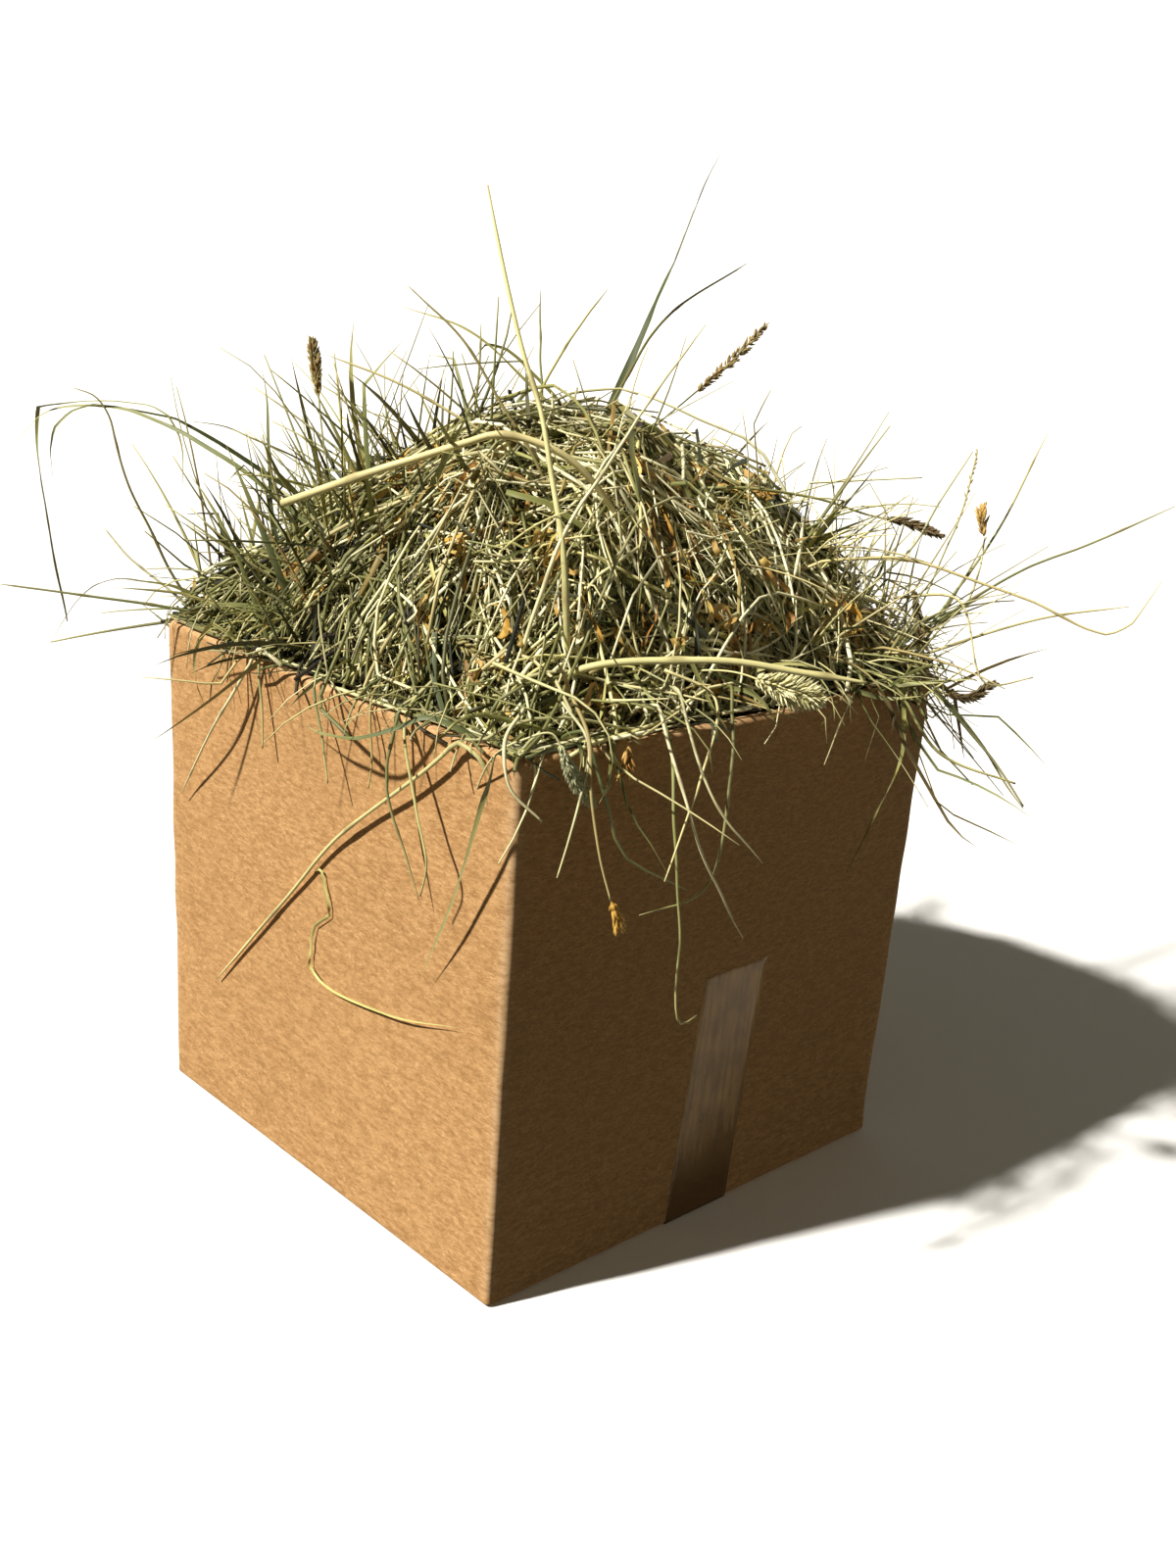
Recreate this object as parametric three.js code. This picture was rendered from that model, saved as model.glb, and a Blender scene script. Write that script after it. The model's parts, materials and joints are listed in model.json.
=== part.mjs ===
// An open corrugated carton heaped with loose grass hay, in millimetres, +Z up.
// The origin is the centre of the carton's underside. Its front wall faces -Y and
// its taped end wall faces +X. The bottom flaps are closed under a strip of clear
// tape, the top flaps are folded down inside the walls, and the hay stands above
// the rim with stems, leaf blades and seed heads straying out of it.

import * as THREE from 'three';

// Driving dimensions
const CARTON_WIDTH = 313; // outside, along X and along Y
const CARTON_HEIGHT = 297;
const BOARD = 4;
const CREASE_RADIUS = 3; // outside, where two walls meet
const MITRE_GAP = 0.35; // how far each wall stops short of the middle of a crease
const CORNER_STEPS = 3; // facets round a corner of the heap
const GAP = 0.3; // between pieces that touch
const FLAP_GAP = 0.8; // between a folded top flap and its wall
const TAPE_WIDTH = 50;
const TAPE_THICKNESS = 0.2;
const TAPE_RISE = 153; // how far the tape climbs each end wall
const TAPE_LEAN = 10; // sideways drift of the strip's top end
const SEAM = 1.5; // between the two outer bottom flaps
const TOP_FLAP_DEPTH = 148;
const WALL_STEPS = 6; // facets along a wall, and up it

// Worked-out dimensions
const HALF = CARTON_WIDTH / 2;
const INNER_HALF = HALF - BOARD;
const UNDERSIDE = TAPE_THICKNESS + GAP; // the walls stand on the tape
const FLAP_HALF = INNER_HALF - FLAP_GAP - BOARD; // inside the folded top flaps
const BOARD_ZONE = 12; // how far in from a wall's face its board and flap reach

// How far each wall's rim is pushed out at its middle by the hay
const BOW = { right: 8, left: 6, front: 4.5, back: 6 };

// The heap's outline: height, and half the width of its rounded square there
const HEAP_LEVELS = [
  [9.2, 146.5],
  [296.5, 146.5],
  [298.5, 161],
  [318, 167],
  [345, 163],
  [372, 149],
  [396, 125],
  [414, 97],
  [426, 62],
  [432, 26],
];
const HEAP_CORNER = 0.22; // corner radius as a share of the half width

const FINISHES = {
  kraft_board: { color: 0xb0804e, roughness: 0.9, metalness: 0 },
  clear_tape: { color: 0xb49a70, roughness: 0.35, metalness: 0 },
  green_hay: { color: 0x8a8f55, roughness: 0.75, metalness: 0 },
  pale_hay: { color: 0xb9b878, roughness: 0.7, metalness: 0 },
  seed_heads: { color: 0x8d7a4c, roughness: 0.85, metalness: 0 },
};

// Cross-sections of the strays: half width and half thickness
const STEM = { halfWidth: 1.1, halfThickness: 1.1, tip: 0.45 };
const STOUT_STEM = { halfWidth: 2.1, halfThickness: 1.7, tip: 0.7 };
const BLADE = { halfWidth: 2.8, halfThickness: 0.7, tip: 0.35 };
const SEED_HEAD = { halfWidth: 3.6, halfThickness: 3.2, tip: 0.45 };
const SECTION_SIDES = 6;
const STRAY_STEP = 14; // the longest facet along a stray
const SAMPLES = 200; // places tried when a stray is freed from the heap

// Stems, blades and seed heads that stand clear of the heap, each from its foot in
// the hay to its tip. A route starts inside the heap and the part of it that shows
// begins where it comes out.
const STRAYS = [
  // Standing above the crown
  ['stem_tall_centre', STEM, 'pale_hay',
    [[110, -100, 395], [88, -93, 437], [66, -90, 468], [24, -79, 536]]],
  ['blade_tall_right', BLADE, 'green_hay',
    [[-18, 56, 428], [-31, 104, 492], [-53, 154, 548], [-61, 179, 575]]],
  ['stem_leaning_right', STEM, 'green_hay', [[-6, 43, 428], [-25, 99, 473], [-40, 183, 506]]],
  ['stem_crown_right', STEM, 'pale_hay', [[110, -80, 404], [88, -14, 451], [78, 24, 478]]],
  ['seed_head_crown', SEED_HEAD, 'seed_heads', [[-6, 100, 428], [-6, 140, 452], [-10, 172, 472]]],
  ['stem_crown_back', STEM, 'green_hay', [[-44, 18, 425], [-58, 56, 459], [-72, 97, 487]]],
  ['stem_upright', STEM, 'green_hay', [[-53, 33, 428], [-62, 38, 455], [-71, 43, 486]]],
  ['stem_crown_left', STEM, 'seed_heads', [[49, -72, 422], [26, -94, 467], [8, -112, 489]]],
  ['blade_crown_left', BLADE, 'green_hay', [[-40, 20, 430], [-72, -6, 462], [-105, -35, 474]]],
  ['stem_dark', STEM, 'green_hay', [[-8, -55, 418], [-17, -46, 448], [-24, -40, 470]]],
  ['blade_folded', BLADE, 'green_hay', [[-60, 50, 426], [-79, 30, 451], [-87, 18, 455], [-84, 2, 438]]],
  ['seed_head_left', SEED_HEAD, 'seed_heads', [[-86, -95, 400], [-98, -92, 430], [-105, -91, 455]]],
  ['stem_back_left', STEM, 'green_hay', [[-80, -88, 400], [-90, -84, 428], [-98, -82, 450]]],
  ['stem_long_left', STEM, 'pale_hay', [[21, -74, 421], [-12, -102, 442], [-40, -126, 453]]],
  ['blade_shoulder_left', BLADE, 'green_hay',
    [[-104, -120, 390], [-110, -118, 424], [-119, -116, 443]]],
  ['stem_stout_pale', STOUT_STEM, 'pale_hay', [[-36, -156, 381], [22, -134, 406], [60, -99, 425]]],
  // The bent plant at the left corner
  ['stem_corner_left', STEM, 'green_hay',
    [[-150, -152, 318], [-173, -170, 375], [-184, -177, 415], [-193, -190, 422]]],
  ['leaf_hanging_left', BLADE, 'green_hay',
    [[-190, -181, 413], [-191, -196, 408], [-190, -206, 398], [-169, -215, 369]]],
  ['leaf_far_left', BLADE, 'green_hay',
    [[-189, -172, 412], [-210, -180, 410], [-226, -192, 405], [-241, -205, 385]]],
  ['leaf_inner_left', BLADE, 'green_hay',
    [[-182, -171, 416], [-152, -157, 414], [-142, -155, 405], [-118, -166, 374]]],
  ['stem_far_left', STEM, 'green_hay', [[-135, -156, 306], [-156, -188, 311], [-191, -240, 318]]],
  ['blade_low_left', BLADE, 'green_hay',
    [[-146, -152, 312], [-167, -179, 320], [-173, -196, 314], [-170, -228, 280]]],
  ['stem_short_left', STEM, 'pale_hay', [[-150, -148, 310], [-172, -167, 328], [-190, -176, 345]]],
  ['blade_left_shoulder', BLADE, 'green_hay',
    [[-105, -108, 392], [-129, -131, 407], [-146, -150, 409]]],
  // Out over the right corner
  ['stem_right_tall', STEM, 'pale_hay', [[150, 150, 320], [157, 196, 376], [152, 239, 427]]],
  ['seed_head_right', SEED_HEAD, 'seed_heads', [[150, 148, 350], [152, 164, 384], [148, 177, 418]]],
  ['stem_far_right', STEM, 'green_hay',
    [[150, 142, 320], [186, 183, 360], [209, 207, 376], [238, 236, 399]]],
  ['stem_right', STEM, 'pale_hay',
    [[150, 120, 304], [186, 160, 327], [208, 182, 338], [238, 208, 347]]],
  ['stem_right_bent', STEM, 'pale_hay',
    [[130, 84, 366], [168, 111, 366], [214, 143, 352], [253, 172, 339], [262, 192, 367]]],
  ['stem_right_low', STEM, 'pale_hay', [[158, 112, 306], [186, 140, 284], [225, 159, 236]]],
  ['stem_stout_right', STOUT_STEM, 'pale_hay', [[140, -100, 330], [184, -59, 337], [231, -9, 331]]],
  ['seed_head_pale', SEED_HEAD, 'seed_heads', [[155, -30, 325], [184, -22, 322], [206, -8, 316]]],
  // Hanging over the front wall
  ['stem_front_long', STOUT_STEM, 'pale_hay',
    [[137, -161, 314], [108, -166, 284], [24, -163, 218], [-14, -161, 179], [-101, -159, 89]]],
  ['blade_front_curled', BLADE, 'green_hay',
    [[8, -160, 196], [17, -160, 177], [-1, -160, 154], [2, -160, 132], [73, -160, 136], [128, -160, 152]]],
  ['stem_front_fork', STEM, 'pale_hay',
    [[80, -162, 314], [82, -174, 272], [92, -170, 236], [100, -166, 212]]],
  ['blade_front_down', BLADE, 'green_hay',
    [[152, -160, 318], [152, -172, 282], [129, -169, 221], [101, -163, 170]]],
  ['blade_front_left', BLADE, 'green_hay',
    [[-68, -158, 330], [-90, -171, 304], [-107, -167, 277], [-104, -162, 257]]],
  ['stem_front_left', STEM, 'pale_hay', [[-36, -164, 314], [-75, -170, 262], [-135, -162, 197]]],
  ['blade_front_dark', BLADE, 'green_hay',
    [[112, -162, 310], [70, -181, 288], [38, -178, 281], [4, -168, 276]]],
  // Hanging over the taped wall
  ['seed_head_hanging', SEED_HEAD, 'seed_heads',
    [[150, -150, 322], [171, -149, 311], [175, -139, 292], [176, -127, 276]]],
  ['stem_end_knotted', STEM, 'green_hay',
    [[160, -126, 322], [181, -121, 273], [185, -114, 252], [197, -80, 231]]],
  ['stem_end_long', STEM, 'pale_hay',
    [[158, -80, 330], [194, -83, 272], [205, -73, 239], [212, -54, 205]]],
  ['stem_end_thin', STEM, 'green_hay',
    [[158, -22, 332], [193, -54, 273], [204, -77, 233], [198, -114, 226]]],
  ['stem_end_right', STEM, 'pale_hay', [[158, -70, 338], [198, -66, 271], [211, -44, 242]]],
  ['blade_end_far', BLADE, 'green_hay',
    [[160, 112, 322], [181, 101, 266], [181, 81, 228], [185, 57, 201]]],
];

// A square with rounded corners and facets along its sides, anticlockwise
function roundedSquare(half, radius) {
  const reach = half - radius;
  const centre = new THREE.Vector2();
  const points = [];
  for (let side = 0; side < 4; side += 1) {
    const turn = (side * Math.PI) / 2;
    for (let step = 0; step < WALL_STEPS; step += 1) {
      const along = -reach + (2 * reach * step) / WALL_STEPS;
      points.push(new THREE.Vector2(half, along).rotateAround(centre, turn));
    }
    for (let step = 0; step < CORNER_STEPS; step += 1) {
      const angle = (step / CORNER_STEPS) * (Math.PI / 2);
      const corner = new THREE.Vector2(Math.cos(angle), Math.sin(angle)).multiplyScalar(radius);
      points.push(corner.addScalar(reach).rotateAround(centre, turn));
    }
  }
  return points;
}

// Pushes the upper part of each wall outwards, most at the middle of its rim
function bowed(geometry) {
  const place = geometry.attributes.position;
  const swell = (across, height) => Math.max(0, 1 - (across / HALF) ** 2) * (height / CARTON_HEIGHT) ** 2;
  for (let index = 0; index < place.count; index += 1) {
    const x = place.getX(index);
    const y = place.getY(index);
    const z = place.getZ(index);
    if (Math.abs(x) > HALF - BOARD_ZONE) {
      place.setX(index, x + Math.sign(x) * (x > 0 ? BOW.right : BOW.left) * swell(y, z));
    }
    if (Math.abs(y) > HALF - BOARD_ZONE) {
      place.setY(index, y + Math.sign(y) * (y > 0 ? BOW.back : BOW.front) * swell(x, z));
    }
  }
  return geometry;
}

function named(name, geometry, finish) {
  const mesh = new THREE.Mesh(geometry, new THREE.MeshStandardMaterial(FINISHES[finish]));
  mesh.name = name;
  return mesh;
}

// The plan of one wall, facing +X, mitred at the middle of the creases at its ends
function wallPlan() {
  const reach = HALF - CREASE_RADIUS;
  const creaseX = reach + CREASE_RADIUS * Math.SQRT1_2;
  const stations = Array.from({ length: WALL_STEPS + 1 }, (_, step) => (2 * step) / WALL_STEPS - 1);
  const outer = stations.map((station) => [HALF, reach * station]);
  const inner = outer.map(([, y]) => [INNER_HALF, (y * INNER_HALF) / reach]).reverse();
  const plan = [[creaseX, -creaseX], ...outer, [creaseX, creaseX], ...inner];
  return plan.map(([x, y]) => new THREE.Vector2(x, y * (1 - MITRE_GAP / HALF)));
}

// The four walls, one sheet of board creased at the corners
function cartonWalls() {
  const depth = CARTON_HEIGHT - UNDERSIDE;
  const plan = new THREE.Shape(wallPlan());
  return ['wall_right', 'wall_back', 'wall_left', 'wall_front'].map((name, side) => {
    const wall = new THREE.ExtrudeGeometry(plan, { depth, steps: WALL_STEPS, bevelEnabled: false });
    wall.translate(0, 0, UNDERSIDE);
    wall.rotateZ((side * Math.PI) / 2);
    return named(name, bowed(wall), 'kraft_board');
  });
}

// Outer flaps meet along the X axis under the tape, with the inner pair on top
function bottomFlaps() {
  const width = 2 * (INNER_HALF - FLAP_GAP);
  const depth = INNER_HALF - GAP - SEAM / 2;
  const outer = new THREE.BoxGeometry(width, depth, BOARD);
  const inner = new THREE.BoxGeometry(depth, width, BOARD);
  const outerHeight = UNDERSIDE + BOARD / 2;
  const innerHeight = outerHeight + BOARD + GAP;
  const offset = SEAM / 2 + depth / 2;
  return [-1, 1].flatMap((side) => {
    const outerName = side < 0 ? 'bottom_flap_front' : 'bottom_flap_back';
    const outerFlap = named(outerName, outer.clone(), 'kraft_board');
    outerFlap.position.set(0, side * offset, outerHeight);
    const innerName = side < 0 ? 'bottom_flap_left' : 'bottom_flap_right';
    const innerFlap = named(innerName, inner.clone(), 'kraft_board');
    innerFlap.position.set(side * offset, 0, innerHeight);
    return [outerFlap, innerFlap];
  });
}

// Four flaps folded down against the insides of the walls they hang from
function topFlaps() {
  const middle = CARTON_HEIGHT - TOP_FLAP_DEPTH / 2 - GAP;
  const offset = FLAP_HALF + BOARD / 2;
  const endWidth = 2 * (INNER_HALF - FLAP_GAP);
  const sideWidth = 2 * (FLAP_HALF - GAP);
  const facets = WALL_STEPS / 2;
  return [-1, 1].flatMap((side) => {
    const end = new THREE.BoxGeometry(BOARD, endWidth, TOP_FLAP_DEPTH, 1, WALL_STEPS, facets);
    end.translate(side * offset, 0, middle);
    const face = new THREE.BoxGeometry(sideWidth, BOARD, TOP_FLAP_DEPTH, WALL_STEPS, 1, facets);
    face.translate(0, side * offset, middle);
    return [
      named(side < 0 ? 'top_flap_left' : 'top_flap_right', bowed(end), 'kraft_board'),
      named(side < 0 ? 'top_flap_front' : 'top_flap_back', bowed(face), 'kraft_board'),
    ];
  });
}

// One strip of clear tape, up both end walls and across the underside's seam
function tapeStrip() {
  const outside = HALF + GAP + TAPE_THICKNESS;
  const rise = Array.from({ length: WALL_STEPS + 1 }, (_, step) => (TAPE_RISE * step) / WALL_STEPS);
  const outerRight = rise.map((z) => new THREE.Vector2(outside, z));
  const innerRight = rise.map((z) => new THREE.Vector2(HALF + GAP, Math.max(z, TAPE_THICKNESS))).reverse();
  const innerLeft = innerRight.map((point) => new THREE.Vector2(-point.x, point.y)).reverse();
  const outerLeft = outerRight.map((point) => new THREE.Vector2(-point.x, point.y)).reverse();
  const profile = new THREE.Shape([...outerRight, ...innerRight, ...innerLeft, ...outerLeft]);
  const strip = new THREE.ExtrudeGeometry(profile, { depth: TAPE_WIDTH, steps: 2, bevelEnabled: false });
  strip.rotateX(Math.PI / 2);
  strip.translate(0, TAPE_WIDTH / 2, 0);
  const place = strip.attributes.position;
  for (let index = 0; index < place.count; index += 1) {
    const lean = (TAPE_LEAN * place.getZ(index)) / TAPE_RISE;
    place.setY(index, place.getY(index) + Math.sign(place.getX(index)) * lean);
  }
  return [named('clear_tape', bowed(strip), 'clear_tape')];
}

// The body of the hay: it fills the carton, spreads over the rim and domes above it
function hayHeap() {
  const outline = new THREE.Shape(roundedSquare(1, HEAP_CORNER));
  const steps = HEAP_LEVELS.length - 1;
  const heap = new THREE.ExtrudeGeometry(outline, { depth: 1, steps, bevelEnabled: false });
  const place = heap.attributes.position;
  for (let index = 0; index < place.count; index += 1) {
    const [height, half] = HEAP_LEVELS[Math.round(place.getZ(index) * steps)];
    place.setXYZ(index, place.getX(index) * half, place.getY(index) * half, height);
  }
  return [named('loose_hay', heap, 'green_hay')];
}

// Half the heap's width at a height, or 0 above its crown
function heapHalfAt(height) {
  const above = HEAP_LEVELS.findIndex(([level]) => level > height);
  if (above < 1) {
    return above === 0 ? HEAP_LEVELS[0][1] : 0;
  }
  const [low, lowHalf] = HEAP_LEVELS[above - 1];
  const [high, highHalf] = HEAP_LEVELS[above];
  return THREE.MathUtils.mapLinear(height, low, high, lowHalf, highHalf);
}

// The stretch of a route from where a stray this thick stands clear of the heap
function clearOfHeap(route, clearance) {
  const points = route.getSpacedPoints(SAMPLES);
  const buried = points.map((point) => {
    const below = heapHalfAt(point.z - clearance);
    const half = Math.max(below, heapHalfAt(point.z + clearance)) + clearance;
    return below > 0 && Math.abs(point.x) < half && Math.abs(point.y) < half;
  });
  return points.slice(buried.lastIndexOf(true) + 1);
}

function section({ halfWidth, halfThickness }) {
  return new THREE.Shape(
    Array.from({ length: SECTION_SIDES }, (_, side) => {
      const angle = (side / SECTION_SIDES) * 2 * Math.PI;
      return new THREE.Vector2(halfThickness * Math.sin(angle), halfWidth * Math.cos(angle));
    }),
  );
}

// A solid along a route, thinning towards its tip
function stray([name, profile, finish, route]) {
  const curve = new THREE.CatmullRomCurve3(route.map((point) => new THREE.Vector3(...point)));
  const visible = new THREE.CatmullRomCurve3(clearOfHeap(curve, profile.halfWidth + GAP));
  const steps = Math.max(3, Math.ceil(visible.getLength() / STRAY_STEP));
  const options = { steps, bevelEnabled: false, extrudePath: visible };
  const body = new THREE.ExtrudeGeometry(section(profile), options);
  const centres = visible.getSpacedPoints(steps);
  const place = body.attributes.position;
  const corner = new THREE.Vector3();
  for (let index = 0; index < place.count; index += 1) {
    corner.fromBufferAttribute(place, index);
    const gaps = centres.map((centre) => centre.distanceTo(corner));
    const nearest = gaps.indexOf(Math.min(...gaps));
    const share = THREE.MathUtils.lerp(1, profile.tip, nearest / steps);
    corner.lerpVectors(centres[nearest], corner, share);
    place.setXYZ(index, corner.x, corner.y, corner.z);
  }
  return named(name, body, finish);
}

const cartonOfHay = new THREE.Group();
cartonOfHay.add(...cartonWalls(), ...bottomFlaps(), ...topFlaps(), ...tapeStrip());
cartonOfHay.add(...hayHeap(), ...STRAYS.map(stray));

export default cartonOfHay;
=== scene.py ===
"""An open corrugated carton heaped with loose grass hay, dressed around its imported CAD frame.

Metres, +Z up. The carton's front wall faces -Y and its taped end wall faces +X. Places and
sizes come from the frame: the walls, the heap's outline and every stray's route are read
from the CAD nodes that the detailed pieces replace. Every heap strand is random but seeded.
"""

import json
import math

import bmesh
import bpy
import numpy as np
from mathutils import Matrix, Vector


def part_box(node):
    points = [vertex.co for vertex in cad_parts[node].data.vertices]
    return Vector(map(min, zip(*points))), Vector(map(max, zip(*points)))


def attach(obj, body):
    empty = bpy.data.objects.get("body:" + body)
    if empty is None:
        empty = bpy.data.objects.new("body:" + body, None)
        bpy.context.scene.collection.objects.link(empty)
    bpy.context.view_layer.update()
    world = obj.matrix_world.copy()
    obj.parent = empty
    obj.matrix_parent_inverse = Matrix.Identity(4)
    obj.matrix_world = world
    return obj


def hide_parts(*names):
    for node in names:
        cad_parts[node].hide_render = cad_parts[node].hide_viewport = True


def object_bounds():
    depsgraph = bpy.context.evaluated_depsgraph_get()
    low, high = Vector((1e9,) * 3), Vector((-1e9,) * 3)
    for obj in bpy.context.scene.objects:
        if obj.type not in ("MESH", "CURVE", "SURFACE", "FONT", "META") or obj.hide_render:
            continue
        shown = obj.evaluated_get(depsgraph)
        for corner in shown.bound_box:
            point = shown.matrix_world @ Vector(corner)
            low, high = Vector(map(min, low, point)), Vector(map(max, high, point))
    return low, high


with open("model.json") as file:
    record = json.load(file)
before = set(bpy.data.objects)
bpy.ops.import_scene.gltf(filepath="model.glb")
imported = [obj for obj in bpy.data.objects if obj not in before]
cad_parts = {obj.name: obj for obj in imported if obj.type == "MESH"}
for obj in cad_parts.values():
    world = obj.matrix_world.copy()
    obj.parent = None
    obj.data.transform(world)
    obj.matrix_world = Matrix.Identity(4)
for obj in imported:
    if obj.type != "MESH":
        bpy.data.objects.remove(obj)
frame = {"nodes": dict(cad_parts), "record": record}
cad_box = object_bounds()

MM = 0.001
SLOT_OF = {row["node"]: row["material_slot"] for row in frame["record"]["subparts"]}

# The carton, from its CAD nodes
BOARD = 4 * MM
FOLD_GAP = 0.8 * MM  # between a folded flap and its wall
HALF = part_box("wall_right")[0].x + BOARD
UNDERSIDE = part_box("wall_right")[0].z
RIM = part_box("wall_right")[1].z
FLAP_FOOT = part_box("top_flap_right")[0].z
FLAP_FACE = HALF - 2 * BOARD - FOLD_GAP
BOW = {
    (0, 1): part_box("wall_right")[1].x - HALF,
    (0, -1): -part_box("wall_left")[0].x - HALF,
    (1, 1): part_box("wall_back")[1].y - HALF,
    (1, -1): -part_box("wall_front")[0].y - HALF,
}
TAPE_WIDTH = 50 * MM
TAPE_THICKNESS = 0.08 * MM
TAPE_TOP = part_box("clear_tape")[1].z
TAPE_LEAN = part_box("clear_tape")[1].y - TAPE_WIDTH / 2

# The heap, from its CAD solid
HEAP_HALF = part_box("loose_hay")[1].x
HEAP_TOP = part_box("loose_hay")[1].z
HAY_INSIDE = FLAP_FACE - 1 * MM


# ---------------------------------------------------------------- meshes from arrays


def new_piece(name, verts, faces, material, replaced=()):
    """A mesh from an array of vertices and a list of arrays of faces, one array for each
    number of corners. It rides on the root and stands for the replaced CAD nodes."""
    faces = [np.asarray(group, np.int32) for group in faces if len(group)]
    corners = np.concatenate([group.ravel() for group in faces])
    sizes = np.concatenate([np.full(len(group), group.shape[1]) for group in faces])
    starts = np.concatenate([[0], np.cumsum(sizes)[:-1]]).astype(np.int32)
    mesh = bpy.data.meshes.new(name)
    mesh.vertices.add(len(verts))
    mesh.vertices.foreach_set("co", np.asarray(verts, np.float32).ravel())
    mesh.loops.add(len(corners))
    mesh.loops.foreach_set("vertex_index", corners)
    mesh.polygons.add(len(sizes))
    mesh.polygons.foreach_set("loop_start", starts)
    mesh.update(calc_edges=True)
    mesh.polygons.foreach_set("use_smooth", np.ones(len(sizes), bool))
    piece = bpy.data.objects.new(name, mesh)
    bpy.context.scene.collection.objects.link(piece)
    mesh.materials.append(material)
    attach(piece, "root")
    if replaced:
        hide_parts(*replaced)
    return piece


def ring_faces(rings, sides, closed=True):
    """Quads between neighbouring rings of vertices laid out ring by ring."""
    ring, side = np.meshgrid(np.arange(rings - 1), np.arange(sides if closed else sides - 1), indexing="ij")
    after = (side + 1) % sides
    quad = [ring * sides + side, ring * sides + after, (ring + 1) * sides + after, (ring + 1) * sides + side]
    return np.stack(quad, -1).reshape(-1, 4)


def srgb(red, green, blue):
    """A colour as seen on screen, 0 to 255, in the linear values that nodes take."""
    shares = [value / 255 for value in (red, green, blue)]
    return tuple(v / 12.92 if v <= 10 / 255 else ((v + 0.055) / 1.055) ** 2.4 for v in shares)


# ---------------------------------------------------------------- material nodes


class Nodes:
    """Short ways to add and join a material's nodes."""

    def __init__(self, name):
        self.material = bpy.data.materials.new(name)
        self.material.use_nodes = True
        self.tree = self.material.node_tree
        self.shader = self.tree.nodes["Principled BSDF"]

    def add(self, kind, settings=(), **inputs):
        node = self.tree.nodes.new(kind)
        for key, value in dict(settings).items():
            setattr(node, key, value)
        for key, value in inputs.items():
            socket = node.inputs[int(key[1:])] if key[1:].isdigit() else node.inputs[key.replace("_", " ")]
            self.feed(socket, value)
        return node

    def feed(self, socket, value):
        if isinstance(value, bpy.types.NodeSocket):
            self.tree.links.new(value, socket)
        else:
            socket.default_value = value

    def set(self, **inputs):
        for key, value in inputs.items():
            self.feed(self.shader.inputs[key.replace("_", " ")], value)

    def math(self, operation, a, b=0.0, c=0.0):
        return self.add("ShaderNodeMath", {"operation": operation}, i0=a, i1=b, i2=c).outputs[0]

    def place(self, scale=(1, 1, 1)):
        """The piece's own coordinates, stretched."""
        coords = self.add("ShaderNodeTexCoord").outputs["Object"]
        return self.add("ShaderNodeMapping", Vector=coords, Scale=scale).outputs[0]

    def noise(self, place, scale, detail=2.0, roughness=0.5):
        node = self.add("ShaderNodeTexNoise", Vector=place, Scale=scale, Detail=detail, Roughness=roughness)
        return node.outputs["Fac"]

    def ramp(self, fac, *stops):
        """A colour or grey ramp through (place, colour) stops."""
        node = self.add("ShaderNodeValToRGB", Fac=fac)
        elements = node.color_ramp.elements
        while len(elements) < len(stops):
            elements.new(0.5)
        for element, (place, colour) in zip(elements, stops):
            element.position = place
            element.color = (*colour, 1) if isinstance(colour, tuple) else (colour, colour, colour, 1)
        return node.outputs["Color"]

    def mix(self, fac, a, b, blend="MIX"):
        node = self.add("ShaderNodeMix", {"data_type": "RGBA", "blend_type": blend})
        self.feed(node.inputs["Factor"], fac)
        self.feed(node.inputs[6], a if isinstance(a, bpy.types.NodeSocket) else (*a, 1))
        self.feed(node.inputs[7], b if isinstance(b, bpy.types.NodeSocket) else (*b, 1))
        return node.outputs[2]

    def attribute(self, name):
        return self.add("ShaderNodeAttribute", {"attribute_name": name}).outputs["Fac"]

    def bump(self, height, distance, strength=1.0):
        node = self.add("ShaderNodeBump", Height=height, Distance=distance, Strength=strength)
        self.set(Normal=node.outputs[0])


KRAFT = (0.485, 0.270, 0.108)
KRAFT_DARK = (0.345, 0.176, 0.064)
KRAFT_PALE = (0.64, 0.405, 0.192)
FLUTE_PITCH = 7.3 * MM


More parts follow.
